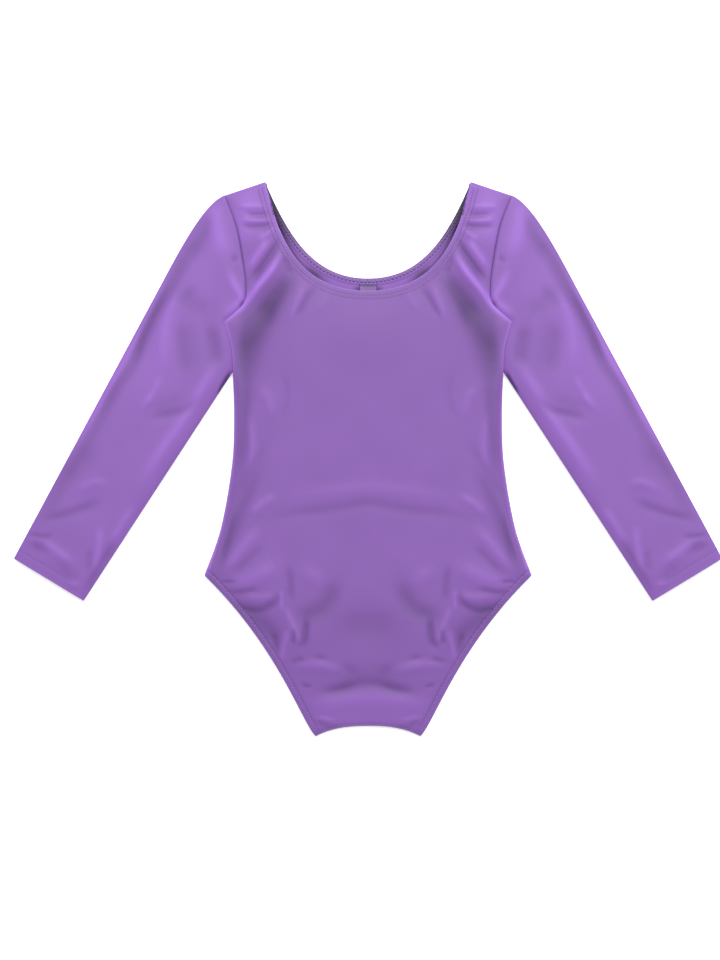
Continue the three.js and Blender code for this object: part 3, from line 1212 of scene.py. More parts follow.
@dataclass(frozen=True)
class Stitching:
    """The sizes of one row of stitches.

    Attributes:
        kind: How the row looks.
        near: Distance of one side of the row from its edge, to the left of the edge's direction.
        far: Distance of its other side.
        pitch: Distance between stitches on the same side of the row.
        radius: Radius of the thread.
        lift: Height of the thread's middle over the cloth.
        bars: Lengths of the straight stitches along the near and far sides.
        side: Side of the body, or None for a row that crosses the middle.
        shaded: Whether the row lies inside the neck and takes the painted shade of the back panel's
            inside.
        sunk: Painted shade of the straight stitches along the near and far sides.
        dive: Painted shade of the short runs between the twin rows' stitches, where the thread goes down.
        dive_length: Length of each such stretch.
    """

    kind: Stitch
    near: float
    far: float
    pitch: float
    radius: float
    lift: float
    bars: tuple[float, float]
    side: Side | None = None
    shaded: bool = False
    sunk: tuple[float, float] = (0.0, 0.0)
    dive: float = -1.3
    dive_length: float = 0.8

    def lay(self, starts: Array) -> tuple[Array, Array]:
        """Places the row's stitches.

        Args:
            starts: Distance along the edge at which each repeat starts.

        Returns:
            Stitches by five points by distances along and beside the edge, and the tone of each stitch.
        """
        shares = np.linspace(0, 1, 5)
        laid, tones = [], []
        sides = ((self.near, 0.0), (self.far, 0.5))
        for (beside, shift), length, tone in zip(sides, self.bars, self.sunk):
            straights = [(shift, length, tone)]
            # Twin rows get short runs between their stitches, coloured with painted shade where the
            # thread goes down
            if self.kind is Stitch.TWIN_ROWS:
                straights.append((shift + 0.5, self.dive_length, self.dive))
            for share, long, deep in straights:
                along = (starts + share * self.pitch)[:, None] + (shares - 0.5) * long
                laid.append(np.stack(np.broadcast_arrays(along, beside), axis=-1))
                tones.append(np.full(len(starts), deep))
        if self.kind is Stitch.ZIGZAG:
            for (first, shift), (second, _) in (sides, sides[::-1]):
                along = starts[:, None] + (shift + shares * 0.5) * self.pitch
                laid.append(np.stack(np.broadcast_arrays(along, mix(first, second, shares)), axis=-1))
                tones.append(np.zeros(len(starts)))
        return np.concatenate(laid), np.concatenate(tones)


@dataclass
class Torso:
    """Front and back panels with everything sewn to them."""

    pattern: Pattern
    finishes: Finishes
    front_relief: Relief
    back_relief: Relief
    # Sheets laid open: width and length in metres, and area inside the cut line in square metres
    panel_flat: tuple[float, float] = (0.302, 0.511)
    front_area: float = 0.106
    back_area: float = 0.107
    lining_filled: float = 0.71
    # Height of the front panel over the floor, and how it falls away towards its neck, legs and straps
    loft: float = 8.4
    crown: float = 4.4
    crown_reach: float = 60.0
    neck_dip: float = 0.8
    leg_dip: float = 1.7
    strap_dip: float = 1.6
    # Heights at which the panels meet in the shoulder and crotch seams, and the reach of each turn
    shoulder_heights: tuple[float, float] = (3.1, 3.4)
    shoulder_reach: float = 4.5
    crotch_heights: tuple[float, float] = (3.2, 3.5)
    crotch_reach: float = 5.0
    neck_hem: Hem = Hem(width=7.0, firmness=0.1)
    leg_hem: Hem = Hem(width=5.4, firmness=0.7)
    hem_radius: float = 1.3
    elastic_width: float = 7.0
    elastic_thickness: float = 0.7
    elastic_inset: float = 1.6
    allowance: float = 4.5
    seam_inset: float = 1.3
    lining_top: float = -165.0
    lining_gap: float = 2.4
    label_size: tuple[float, float] = (16.0, 20.0)
    coverstitch: Stitching = Stitching(
        Stitch.TWIN_ROWS, near=-4.0, far=-7.6, pitch=2.7, radius=0.3, lift=0.16, bars=(1.6, 1.6)
    )
    leg_zigzag: Stitching = Stitching(
        Stitch.ZIGZAG, near=-3.0, far=-5.3, pitch=3.2, radius=0.18, lift=0.05, bars=(1.2, 1.2)
    )
    neck_overlock: Stitching = Stitching(
        Stitch.ZIGZAG,
        near=-0.7,
        far=-3.7,
        pitch=3.5,
        radius=0.38,
        lift=0.4,
        bars=(1.1, 2.6),
        shaded=True,
        # Painted shade on the overlock's straight stitches, deeper along the far side
        sunk=(-0.7, -1.7),
    )
    front_edge: EdgeProfile = EdgeProfile(
        y=(-107, -95, -60, 58, 74, 86, 120, 128, 140, 160, 243),
        edge=(3.6, 4.0, 4.4, 4.6, 5.6, 7.8, 8.6, 8.8, 8.2, 7.9, 6.8),
        reach=(5, 6, 9, 9, 6, 3, 2.4, 2.2, 2.0, 2.2, 2.4),
    )
    back_edge: EdgeProfile = EdgeProfile(
        y=(-107, -95, -60, 58, 74, 86, 128, 160, 243),
        edge=(3.4, 3.8, 4.2, 4.3, 3.0, 0.4, 0.3, 0.6, 1.4),
        reach=(5, 6, 7, 7, 6, 3, 2, 2.0, 3.0),
    )

    def _folded(self, places: Array) -> Array:
        """Places moved to the +X half, which both halves of the body are shaped by."""
        return np.stack([np.abs(places[:, 0]), places[:, 1]], axis=-1)

    def front_shape(self, places: Array) -> tuple[Array, Array]:
        """Shapes the front panel.

        Args:
            places: Points in plan.

        Returns:
            Height of the panel's outside at each, and its tone: painted light and shade.
        """
        half = self._folded(places)
        y = half[:, 1]
        flank, along_flank = self.pattern.flank.nearest(half)
        hole, along_hole = self.pattern.armhole_edge.nearest(half)
        neck, along_neck = self.pattern.front_neck.nearest(half)
        leg, along_leg = self.pattern.leg.nearest(half)
        crotch = self.pattern.crotch_edge.nearest(half)[0]
        shoulder = self.pattern.shoulder_seam.nearest(half)[0]
        gaps = np.maximum([flank, hole, neck, leg, crotch, shoulder], 0.02)
        inside = np.sum(gaps**-3.0, axis=0) ** (-1 / 3)
        height = self.loft + self.crown * (1 - (1 - np.clip(inside / self.crown_reach, 0, 1)) ** 2)
        height -= self.neck_dip * fade(neck, 12, 1.3) + self.leg_dip * fade(leg, 16, 1.3)
        height -= self.strap_dip * ease((y - 190) / 60)
        rise, tone = self.front_relief.shape(half)
        height += rise * ease(inside / 9)
        for hem, gap, travelled in ((self.neck_hem, neck, along_neck), (self.leg_hem, leg, along_leg)):
            hem_rise, hem_tone = hem.shape(gap, travelled)
            height += hem_rise
            tone = tone + hem_tone
        # Painted light and shade beside the neck: lighter on the straps, darker on the chest, a painted
        # highlight on the very rim
        strap = ease((y - 175) / 40)
        tone += 0.16 * strap * fade(neck, 6) + 0.7 * fade(neck, 0.9)
        tone -= 0.1 * (1 - strap) * fade(neck, 16)
        # Below the armpit: a painted highlight along the side's rim, with a band of painted shade inside
        # it
        rim, band = ease((150 - y) / 10), ease((130 - y) / 45)
        tone += 0.5 * rim * fade(np.minimum(flank, hole), 2.2)
        tone -= 0.12 * band * fade(flank - 9, 6)
        flank_edge, flank_reach = self.front_edge.at(self.pattern.flank.at(along_flank)[:, 1])
        hole_edge, hole_reach = self.front_edge.at(self.pattern.armhole_edge.at(along_hole)[:, 1])
        turns = (
            (height - flank_edge, flank, flank_reach),
            (height - hole_edge, hole, hole_reach),
            (height - self.shoulder_heights[1], shoulder, self.shoulder_reach),
            (height - self.crotch_heights[1], crotch, self.crotch_reach),
            (self.hem_radius, neck, self.hem_radius),
            (self.hem_radius, leg, self.hem_radius),
        )
        drops = [full * (1 - quarter_round(gap / reach)) for full, gap, reach in turns]
        drop = np.sum(np.clip(drops, 0, None) ** 4, axis=0) ** 0.25
        return height - drop, tone

    def back_shape(self, places: Array) -> tuple[Array, Array]:
        """Shapes the back panel.

        Args:
            places: Points in plan.

        Returns:
            Height of the panel's outside, which faces down, at each, and its tone.
        """
        half = self._folded(places)
        side, along_side = self.pattern.body_edge.nearest(half)
        neck = self.pattern.back_neck.nearest(half)[0]
        crotch = self.pattern.crotch_edge.nearest(half)[0]
        shoulder = self.pattern.shoulder_seam.nearest(half)[0]
        edge, reach = self.back_edge.at(self.pattern.body_edge.at(along_side)[:, 1])
        lifts = [
            edge * (1 - quarter_round(side / reach)),
            self.shoulder_heights[0] * (1 - quarter_round(shoulder / self.shoulder_reach)),
            self.crotch_heights[0] * (1 - quarter_round(crotch / self.crotch_reach)),
            0.5 * ease((self.neck_hem.width - neck) / 2),
        ]
        lift = np.sum(np.clip(lifts, 0, None) ** 4, axis=0) ** 0.25
        rise, tone = self.back_relief.shape(half)
        return lift + np.clip(rise, 0, None) * ease(np.minimum(side, neck) / 9), tone

    def inside_tone(self, places: Array) -> Array:
        """Painted light and shade on the back panel's inside.

        Args:
            places: Points in plan.

        Returns:
            Its tone at each: a little painted light in the middle, and deep painted shade where the
                straps
            close over it, close under the front hem and beside the label.
        """
        half = self._folded(places)
        x, y = half[:, 0], half[:, 1]
        painted_label_shadow = np.exp(-(((x - 9.4) / 2.8) ** 2) - ((y - 156.6) / 2.2) ** 2)
        painted_pocket_shadow = np.exp(-(((x - 50) / 10) ** 2) - ((y - 171 - 0.6 * (x - 50)) / 3.8) ** 2)
        front_gap = self.pattern.front_neck.nearest(half)[0]
        painted_hem_shadow = 1.5 * ease((y - 172) / 16) * fade(front_gap, 2.4)
        strap = 1.7 * ease((y - 186) / 44)
        stretched, deepest = 0.25, -2
        return np.clip(
            stretched - strap - painted_hem_shadow - 1.5 * (painted_label_shadow + painted_pocket_shadow), deepest, stretched
        )

    def back_inside(self, places: Array) -> Array:
        """Height of the back panel's inside."""
        return self.back_shape(places)[0] + self.pattern.cloth

    def front_outside(self, places: Array) -> Array:
        """Height of the front panel's outside."""
        return self.front_shape(places)[0]

    def seam_floor(self, places: Array) -> Array:
        """Height of the underside of a seam allowance, just over the back panel."""
        return self.back_inside(places) + 0.15

    def seam_roof(self, places: Array) -> Array:
        """Height of the top of a seam allowance, just under the front panel."""
        return np.maximum(self.front_outside(places) - 1.35, self.seam_floor(places) + 0.5)

    def elastic_over(self, places: Array) -> Array:
        """Height of the top of an elastic, just under the front panel."""
        return self.front_outside(places) - 1.15

    def elastic_under(self, places: Array) -> Array:
        """Height of the underside of an elastic."""
        return self.elastic_over(places) - self.elastic_thickness

    def build(self) -> None:
        """Builds and dresses every piece of the body."""
        self.build_panels()
        self.build_lining()
        self.build_seams()
        self.build_elastics()
        self.build_stitches()
        self.build_label()

    def build_panels(self) -> None:
        """The two cut panels, each a closed wall of cloth."""
        plan = self.pattern.grid(self.pattern.front_neck, graded(330, 0.7), graded(300, 0.55))
        height, tone = self.front_shape(plan.reshape(-1, 2))
        outer = raised(plan, height)
        front = cloth_wall(
            "front_cloth",
            outer,
            lining_of(outer, self.pattern.cloth),
            flat=plan,
            tone=tone.reshape(plan.shape[:2]),
        )
        dress(front, self.finishes.cloth, ["front_panel"])

        plan = self.pattern.grid(self.pattern.back_neck, graded(200, 0.75), graded(190, 0.6))
        height, tone = self.back_shape(plan.reshape(-1, 2))
        outer = raised(plan, height)
        back = cloth_wall(
            "back_cloth",
            outer,
            lining_of(outer, -self.pattern.cloth),
            flat=plan,
            tone=tone.reshape(plan.shape[:2]),
            inner_tone=self.inside_tone(plan.reshape(-1, 2)),
        )
        dress(back, self.finishes.cloth, ["back_panel"])

    def build_lining(self) -> None:
        """The crotch lining, which lies on the back panel between the leg elastics."""
        rows, columns = 60, 48
        seam_clear, bow_depth, thickness = 10, 7.4, 0.7
        top_y, low_y = self.lining_top, self.pattern.crotch[1] + seam_clear
        heights = np.linspace(low_y, top_y, rows + 1)
        leg = self.pattern.leg
        from_leg = -(1.2 + self.elastic_width + self.lining_gap)
        inset = leg.sideways(np.linspace(2, leg.length - 2, 200), from_leg)
        order = np.argsort(inset[:, 1])
        half_width = np.interp(heights, inset[order, 1], inset[order, 0])
        u = np.linspace(-1, 1, columns + 1)
        bow = bow_depth * (1 - u**2)[None, :] * (1 - np.linspace(0, 1, rows + 1))[:, None]
        plan = np.stack([half_width[:, None] * u[None, :], heights[:, None] + bow], axis=-1)
        places = plan.reshape(-1, 2)
        slack = 0.2 * np.sin(places[:, 0] / 9) * np.sin(places[:, 1] / 13)
        under = raised(plan, self.back_inside(places) + 0.25 + slack)
        over = under + [0, 0, thickness]
        lining = cloth_wall("crotch_lining_cloth", over, under, flat=plan)
        dress(lining, self.finishes.cloth, ["crotch_lining"])

    def ribbon(
        self,
        name: str,
        line: PlanLine,
        near: float,
        far: float,
        low: Surface,
        high: Surface,
        side: Side | None = None,
    ) -> bpy.types.Object:
        """A narrow strip beside a line, with a slightly scalloped inner edge as overlocking leaves it.

        Args:
            name: Name of the piece.
            line: The line in plan.
            near: Distance from the line to the strip's near edge, to the left of the line's direction.
            far: Distance to its far edge.
            low: Height of the strip's underside at places in plan.
            high: Height of its top.
            side: Side of the body, or None for a strip that crosses the middle.

        Returns:
            The piece.
        """
        steps = max(8, int(line.length / 1.5))
        travelled = np.linspace(0.6, line.length - 0.6, steps + 1)
        scallop = 0.12 * np.sin(2 * np.pi * travelled / 3.0) * np.sign(far - near)
        shares = np.linspace(0, 1, 5)
        plan = np.stack(
            [line.sideways(travelled, near + (far + scallop - near) * s) for s in shares], axis=1
        )
        places = plan.reshape(-1, 2)
        over, under = raised(plan, high(places)), raised(plan, low(places))
        flat = np.stack(np.broadcast_arrays(shares * abs(far - near), travelled[:, None]), axis=-1)
        if side:
            over, under = side.placed(over), side.placed(under)
        return cloth_wall(name, over, under, flat=flat)

    def build_seams(self) -> None:
        """Overlocked allowances inside the side, armhole, shoulder and crotch seams."""
        pattern, thread = self.pattern, self.finishes.overlock
        near, far = self.seam_inset, self.seam_inset + self.allowance
        # Each seam's line, trimmed clear of the hems at its ends, and the side that its allowance lies on
        runs = {
            "side_seam": (pattern.side.along(120, 17.2, 2), 1.0),
            "armhole_seam": (pattern.armhole_edge.along(80, 9, 9), 1.0),
            "shoulder_seam": (pattern.shoulder_seam.along(20, 10.2, 7.7), -1.0),
        }
        for side in Side:
            for part, (line, way) in runs.items():
                node = f"{side.prefix}_{part}"
                piece = self.ribbon(
                    f"{node}_overlock",
                    line,
                    near * way,
                    far * way,
                    self.seam_floor,
                    self.seam_roof,
                    side,
                )
                dress(piece, thread, [node])
        line = pattern.crotch_edge.along(40, 10.2, 0).reversed().both_halves()
        crotch = self.ribbon(
            "crotch_seam_overlock", line, near, far, self.seam_floor, self.seam_roof
        )
        dress(crotch, thread, ["crotch_seam"])

    def build_elastics(self) -> None:
        """Braided elastics inside the neck and leg hems, close under the front panel."""
        under, over = self.elastic_under, self.elastic_over
        near, far = -self.elastic_inset, -self.elastic_inset - (self.elastic_width - 1.4)
        neck_line = self.pattern.front_neck.along(150, 0, 6).both_halves()
        neck = self.ribbon("neck_elastic_braid", neck_line, near, far, under, over)
        dress(neck, self.finishes.elastic, ["neck_elastic"])
        for side in Side:
            node = f"{side.prefix}_leg_elastic"
            leg_line = self.pattern.leg.along(150, 9, 9)
            leg = self.ribbon(f"{node}_braid", leg_line, near, far, under, over, side)
            dress(leg, self.finishes.elastic, [node])

    def stitching(self, name: str, line: PlanLine, row: Stitching, surface: Surface) -> bpy.types.Object:
        """A row of machine stitches whose ends dive into the cloth.

        Args:
            name: Name of the piece.
            line: The edge that the row follows.
            row: The kind of stitch and its sizes.
            surface: Height of the cloth under the row.

        Returns:
            The piece.
        """
        starts = np.arange(int(line.length / row.pitch)) * row.pitch
        laid, sunk = row.lay(starts)
        travelled = np.clip(laid[..., 0].ravel(), 0, line.length)
        places = line.sideways(travelled, laid[..., 1].ravel())
        arch = np.array([-0.2, 0.9, 1.0, 0.9, -0.2]) * row.lift
        height = surface(places).reshape(laid.shape[:2]) + arch
        points = raised(places.reshape(*laid.shape[:2], 2), height)
        # Rows inside the neck take the painted shade of the back panel's inside
        if row.shaded:
            sunk = sunk + self.inside_tone(points[:, 2, :2])
        if row.kind is Stitch.TWIN_ROWS:
            # Away from the straps the painted shade at the needle holes is weaker
            sunk = sunk * (0.15 + 0.85 * ease((points[:, 2, 1] - 172) / 26))
        if row.side:
            points = row.side.placed(points)
        return thread_runs(name, points, row.radius, tones=sunk)

    def build_stitches(self) -> None:
        """Stitches over the neck and leg hems, and the overlocking inside the back of the neck."""
        neck = self.pattern.front_neck.along(160, 0, 5).both_halves()
        row = self.stitching("neck_coverstitch", neck, self.coverstitch, self.front_outside)
        dress(row, self.finishes.thread, ["neck_topstitch"])
        for side in Side:
            node = f"{side.prefix}_leg_topstitch"
            leg = self.pattern.leg.along(160, 6, 6)
            zigzag = replace(self.leg_zigzag, side=side)
            row = self.stitching(f"{node}_zigzag", leg, zigzag, self.front_outside)
            dress(row, self.finishes.thread, [node])
        inside = self.pattern.back_neck.along(160, 0, 16).both_halves()
        row = self.stitching("back_neck_overlock", inside, self.neck_overlock, self.back_inside)
        dress(row, self.finishes.overlock, ["neck_chainstitch"])

    def build_label(self) -> None:
        """The blank label inside the back of the neck, held along its top and slightly curled."""
        width, length = self.label_size
        top = self.pattern.back_neck_y - 4.5
        u, v = np.linspace(-0.5, 0.5, 17), np.linspace(0, 1, 21)
        plan = np.stack(np.broadcast_arrays(u[None, :] * width, top - v[:, None] * length), axis=-1)
        curl = 0.35 + 0.9 * v[:, None] ** 2 + 0.5 * (2 * u[None, :]) ** 4 * v[:, None]
        clear, thickness = 0.4, 0.3
        lie = self.back_inside(plan.reshape(-1, 2)).reshape(plan.shape[:2]) + curl + clear
        under = raised(plan, lie)
        label = cloth_wall("label_tape", under + [0, 0, thickness], under, flat=plan)
        dress(label, self.finishes.label, ["size_label"])


# ---------- the sleeves ----------


@dataclass(frozen=True)
class Fold:
    """The line that a sleeve folds about, from its joint: a point on it and the way out to the cuff."""

    pivot: Array
    out: Array

    @classmethod
    def of(cls, joints: Sequence[Mapping[str, object]], body: str) -> "Fold":
        """Finds a sleeve's fold.

        Args:
            joints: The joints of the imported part.
            body: The body that turns about the fold.

        Returns:
            The fold, in millimetres.
        """
        joint = next(each for each in joints if each["child"] == body)
        across, along, _ = joint["axis"]
        return cls(np.array(joint["pos_m"]) / MM, np.array([-along, across, 0.0]))

    def at(self, distance: float) -> tuple[float, ...]:
        """The point that far out from the fold line, in metres."""
        return tuple(float(c) for c in (self.pivot + self.out * distance) * MM)


@dataclass
class Sleeve:
    """One sleeve: a tube of cloth from the armhole to the cuff, with its underarm seam and cuff hem."""

    pattern: Pattern
    finishes: Finishes
    side: Side
    fold: Fold
    relief: Relief
    height: float = 9.6
    roundness: float = 3.0
    # Laid open: width and length in metres, and area inside the cut line in square metres
    flat_size: tuple[float, float] = (0.24, 0.39)
    flat_area: float = 0.0628
    # Where the tube meets its underarm edge beneath the body's flap
    underarm: tuple[float, float] = (121.9, 84.2)
    bend_start: float = -4.0
    bend_end: float = 30.0
    cuff_hem: float = 8.5
    cuff_pitch: float = 2.6
    allowance: float = 4.5
    rows: int = 230
    columns: int = 76
    # Height of the cloth where it meets the body's edge, and the distance over which it dips to that
    tuck: EdgeProfile = EdgeProfile(
        y=(76, 86, 100, 120, 128, 142, 152, 160, 180, 243),
        edge=(5.0, 6.5, 7.0, 7.4, 7.6, 7.1, 7.3, 7.7, 7.6, 6.6),
        reach=(8.0, 8.0, 8.0, 8.0, 7.2, 5.5, 4.2, 3.6, 2.4, 2.4),
    )

    @cached_property
    def armhole_line(self) -> PlanLine:
        """First row of the tube.

        Returns:
            The armhole seam, then a line tucked under the body's flap.
        """
        hole = self.pattern.armhole_edge
        upper = hole.points[hole.points[:, 1] > 150][::-1] + [0.08, 0]
        tucked = spline([tuple(upper[-1]), (112.5, 136), (115.5, 110), self.underarm], 12)
        return PlanLine(upper).then(tucked)

    @cached_property
    def inner_edge(self) -> PlanLine:
        """The underarm edge, from under the flap to the cuff."""
        return PlanLine(np.array([self.underarm, self.pattern.cuff_ends[1]])).along(80)

    def plan(self) -> tuple[Array, Array]:
        """Lays out one layer of the flattened tube.

        Returns:
            Rows by columns of points in plan, and the columns' shares from the outer edge across.
        """
        v = graded(self.rows, 0.45)
        t = np.linspace(0, 1, self.columns + 1)
        u = mix(t, (1 - np.cos(np.pi * t)) / 2, 0.75)
        outer, inner = self.pattern.sleeve_outer, self.inner_edge
        top = self.armhole_line.at(u * self.armhole_line.length)
        cuff_outer, cuff_inner = self.pattern.cuff_ends
        bottom = cuff_outer + (cuff_inner - cuff_outer) * u[:, None]
        out, into = outer.at(v * outer.length), inner.at(v * inner.length)
        u3, v3 = u[None, :, None], v[:, None, None]
        ruled = top * (1 - v3) + bottom * v3 + out[:, None] * (1 - u3) + into[:, None] * u3
        corners = (top[0] * (1 - u3) + top[-1] * u3) * (1 - v3)
        corners = corners + (cuff_outer * (1 - u3) + cuff_inner * u3) * v3
        return ruled - corners, u

    def room(self, places: Array) -> Array:
        """Distance from the body's edge.

        Args:
            places: Points in plan.

        Returns:
            The distance of each, positive outside the body.
        """
        edge = self.pattern.body_edge
        gap = edge.nearest(places)[0]
        limit = np.interp(places[:, 1], edge.points[:, 1], edge.points[:, 0])
        return np.where(places[:, 0] > limit, gap, -gap)

    def layers(self) -> tuple[Array, Array, Array, Array]:
        """Shapes the tube.

        Returns:
            Its outer grid of points, its inner grid, its flat cloth and its tone, painted light and
            shade.
        """
        plan, u = self.plan()
        places, shape = plan.reshape(-1, 2), plan.shape[:2]
        full = (1 - np.abs(2 * u - 1) ** self.roundness) ** (1 / self.roundness)
        room = self.room(places).reshape(shape)
        rise, tone = (values.reshape(shape) for values in self.relief.shape(places))
        to_cuff = self.pattern.cuff.nearest(places)[0].reshape(shape)
        middle = self.height / 2
        hem = 0.12 * ease((self.cuff_hem + 1 - to_cuff) / 1.6) - 0.15 * fade(
            to_cuff - self.cuff_hem - 0.4, 1.3
        )
        swell = middle * full[None, :] * (1 - 0.22 * fade(to_cuff, 10))
        upper = middle + swell + (rise + hem) * ease(full[None, :] * 1.6 - 0.4)
        upper -= 1.0 * (1 - quarter_round(to_cuff / 1.0)) * full[None, :]
        # Beside the armhole seam the sleeve dips into the seam's groove, and below it runs under the flap
        groove, reach = (values.reshape(shape) for values in self.tuck.at(places[:, 1]))
        lapped = ease((150 - places[:, 1]) / 20).reshape(shape)
        groove = groove - 1.8 * ease(-room / 9) * lapped
        turned = groove + (upper - groove) * quarter_round((room + 0.8 * lapped) / reach)
        upper = np.where(upper > groove, np.minimum(upper, turned), upper)
        tucked = 1.3 * (1 - ease(room / 9))
        lower = np.maximum(middle - swell, np.minimum(tucked, middle - 0.6))
        outer = np.concatenate([raised(plan, upper), raised(plan, lower)[:, -2:0:-1]], axis=1)
        girth = distances(outer[outer.shape[0] // 2])
        length = np.linspace(0, self.pattern.sleeve_outer.length, outer.shape[0])
        flat = np.stack(np.broadcast_arrays(girth[None, :], length[:, None]), axis=-1)
        # Painted highlight along the cuff's edge
        tone = tone + 0.3 * fade(to_cuff, 1.3)
        tones = np.concatenate([tone, np.full_like(tone, self.relief.tone)[:, -2:0:-1]], axis=1)
        return outer, lining_of(outer, self.pattern.cloth, Turn.CLOSED), flat, tones

    def bend(self, piece: bpy.types.Object) -> None:
        """Bakes a piece's placement into its mesh; where it would bend across the fold line is worked out
        but not used.
        """
        start, end = self.fold.at(self.bend_start), self.fold.at(self.bend_end)
        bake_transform(piece)

    def build(self) -> None:
        """Builds and dresses the sleeve's pieces."""
        prefix, placed = self.side.prefix, self.side.placed
        outer, inner, flat, tone = self.layers()
        name = f"{prefix}_sleeve_cloth"
        tube = cloth_wall(name, placed(outer), placed(inner), Turn.CLOSED, flat, tone)
        nodes = [f"{prefix}_sleeve_head", f"{prefix}_sleeve"]
        dress(tube, self.finishes.cloth, nodes, body=None)
        self.bend(tube)
        self.build_seam(prefix)
        self.build_cuff(prefix, outer)

    def build_seam(self, prefix: str) -> None:
        """The overlocked allowance inside the underarm edge.

        Args:
            prefix: Start of the names of this side's pieces.
        """
        inset, thickness, stitch = 2.6, 0.8, 3.0
        line = PlanLine(np.array([self.pattern.underarm, self.pattern.cuff_ends[1]])).along(200, 8, 6)
        travelled = np.linspace(0, line.length, 220)
        width = self.allowance + 0.2 * np.sin(2 * np.pi * travelled / stitch)
        rows = [line.sideways(travelled, inset + width * s) for s in np.linspace(0, 1, 4)]
        plan = np.stack(rows, axis=1)
        over = raised(plan, np.full(plan.shape[:2], self.height / 2 + thickness / 2))
        under = over - [0, 0, thickness]
        name = f"{prefix}_underarm_overlock"
        seam = cloth_wall(name, self.side.placed(over), self.side.placed(under))
        nodes = [f"{prefix}_underarm_seam", f"{prefix}_sleeve_seam"]
        dress(seam, self.finishes.overlock, nodes, body=None)
        self.bend(seam)

    def build_cuff(self, prefix: str, outer: Array) -> None:
        """A row of stitches round the cuff's hem, laid on the finished tube.

        Args:
            prefix: Start of the names of this side's pieces.
            outer: The tube's outer grid of points.
        """
        to_cuff = self.pattern.cuff.nearest(outer[:, self.columns // 2, :2])[0]
        loop = outer[int(np.argmin(np.abs(to_cuff - self.cuff_hem)))]
        loop = np.concatenate([loop, loop[:1]])
        travel = distances(loop)
        pitch, stitch_share, lift, radius = self.cuff_pitch, 0.8, 0.12, 0.2
        starts = np.arange(int(travel[-1] / pitch)) * pitch
        travelled = starts[:, None] + np.linspace(0, 1, 5)[None, :] * pitch * stitch_share
        points = np.stack([np.interp(travelled, travel, loop[:, k]) for k in range(3)], axis=-1)
        away = np.sign(points[..., 2:] - self.height / 2) * [0, 0, 1]
        arch = np.array([-0.1, 0.8, 1.0, 0.8, -0.1])[None, :, None] * lift
        stitches = self.side.placed(points + away * arch)
        row = thread_runs(f"{prefix}_cuff_stitches", stitches, radius)
        dress(row, self.finishes.thread, [f"{prefix}_cuff_topstitch"], f"{prefix}_sleeve")


# ---------- the studio ----------


@dataclass(frozen=True)
class Studio:
    """A pale table under one large soft light, seen from straight above through a long lens."""

    view_height: float = 0.8832
    centre: tuple[float, float] = (-0.0074, -0.0193)
    lens: float = 100.0
    sensor: float = 36.0
    key_power: float = 285.0
    key_size: tuple[float, float] = (3.2, 2.6)
    key_place: tuple[float, float, float] = (0.4, 2.4, 4.4)
    key_turn: tuple[float, float, float] = (-0.5, 0.09, 0)
    world_light: float = 0.46
    # The floor in millimetres: how far it reaches each way, how far it stays level, and how steeply it
    # sweeps up beyond that
    floor_reach: float = 9000.0
    floor_level: float = 4500.0
    floor_sweep: float = 1900.0

    def build(self) -> None:
        """Makes the floor, the lights and the camera."""
        self.build_floor()
        self.build_lights()
        self.build_camera()
        bpy.context.scene.view_settings.view_transform = "Standard"

    def build_floor(self) -> None:
        """The wide paper floor, which sweeps up gently at its far edges."""
        lines = np.linspace(-self.floor_reach, self.floor_reach, 61)
        x, y = np.meshgrid(lines, lines)
        rise = np.clip(np.hypot(x, y) / self.floor_level - 1, 0, None) ** 2
        top = np.stack([x, y, -0.4 + self.floor_sweep * rise], axis=-1)
        floor = cloth_wall("floor", top, top - [0, 0, 4.0])
        floor.data.materials.append(PaperSweep().make())

    def build_lights(self) -> None:
        """A wide overhead softbox, set back towards the neck, and an even white surround."""
        lamp = bpy.data.lights.new("softbox", "AREA")
        lamp.shape, lamp.energy = "RECTANGLE", self.key_power
        lamp.size, lamp.size_y = self.key_size
        softbox = bpy.data.objects.new("softbox", lamp)
        softbox.location = self.key_place
        softbox.rotation_euler = self.key_turn
        bpy.context.scene.collection.objects.link(softbox)
        world = bpy.data.worlds.new("surround")
        world.use_nodes = True
        sky = world.node_tree.nodes["Background"]
        sky.inputs["Color"].default_value = (1, 1, 1, 1)
        sky.inputs["Strength"].default_value = self.world_light
        bpy.context.scene.world = world

    def build_camera(self) -> None:
        """The camera, straight above and level with the garment's length."""
        data = bpy.data.cameras.new("camera")
        data.lens, data.sensor_width, data.clip_end = self.lens, self.sensor, 20
        camera = bpy.data.objects.new("camera", data)
        distance = self.view_height / self.sensor * self.lens
        camera.location = (*self.centre, distance + 0.008)
        bpy.context.scene.collection.objects.link(camera)
        bpy.context.scene.camera = camera
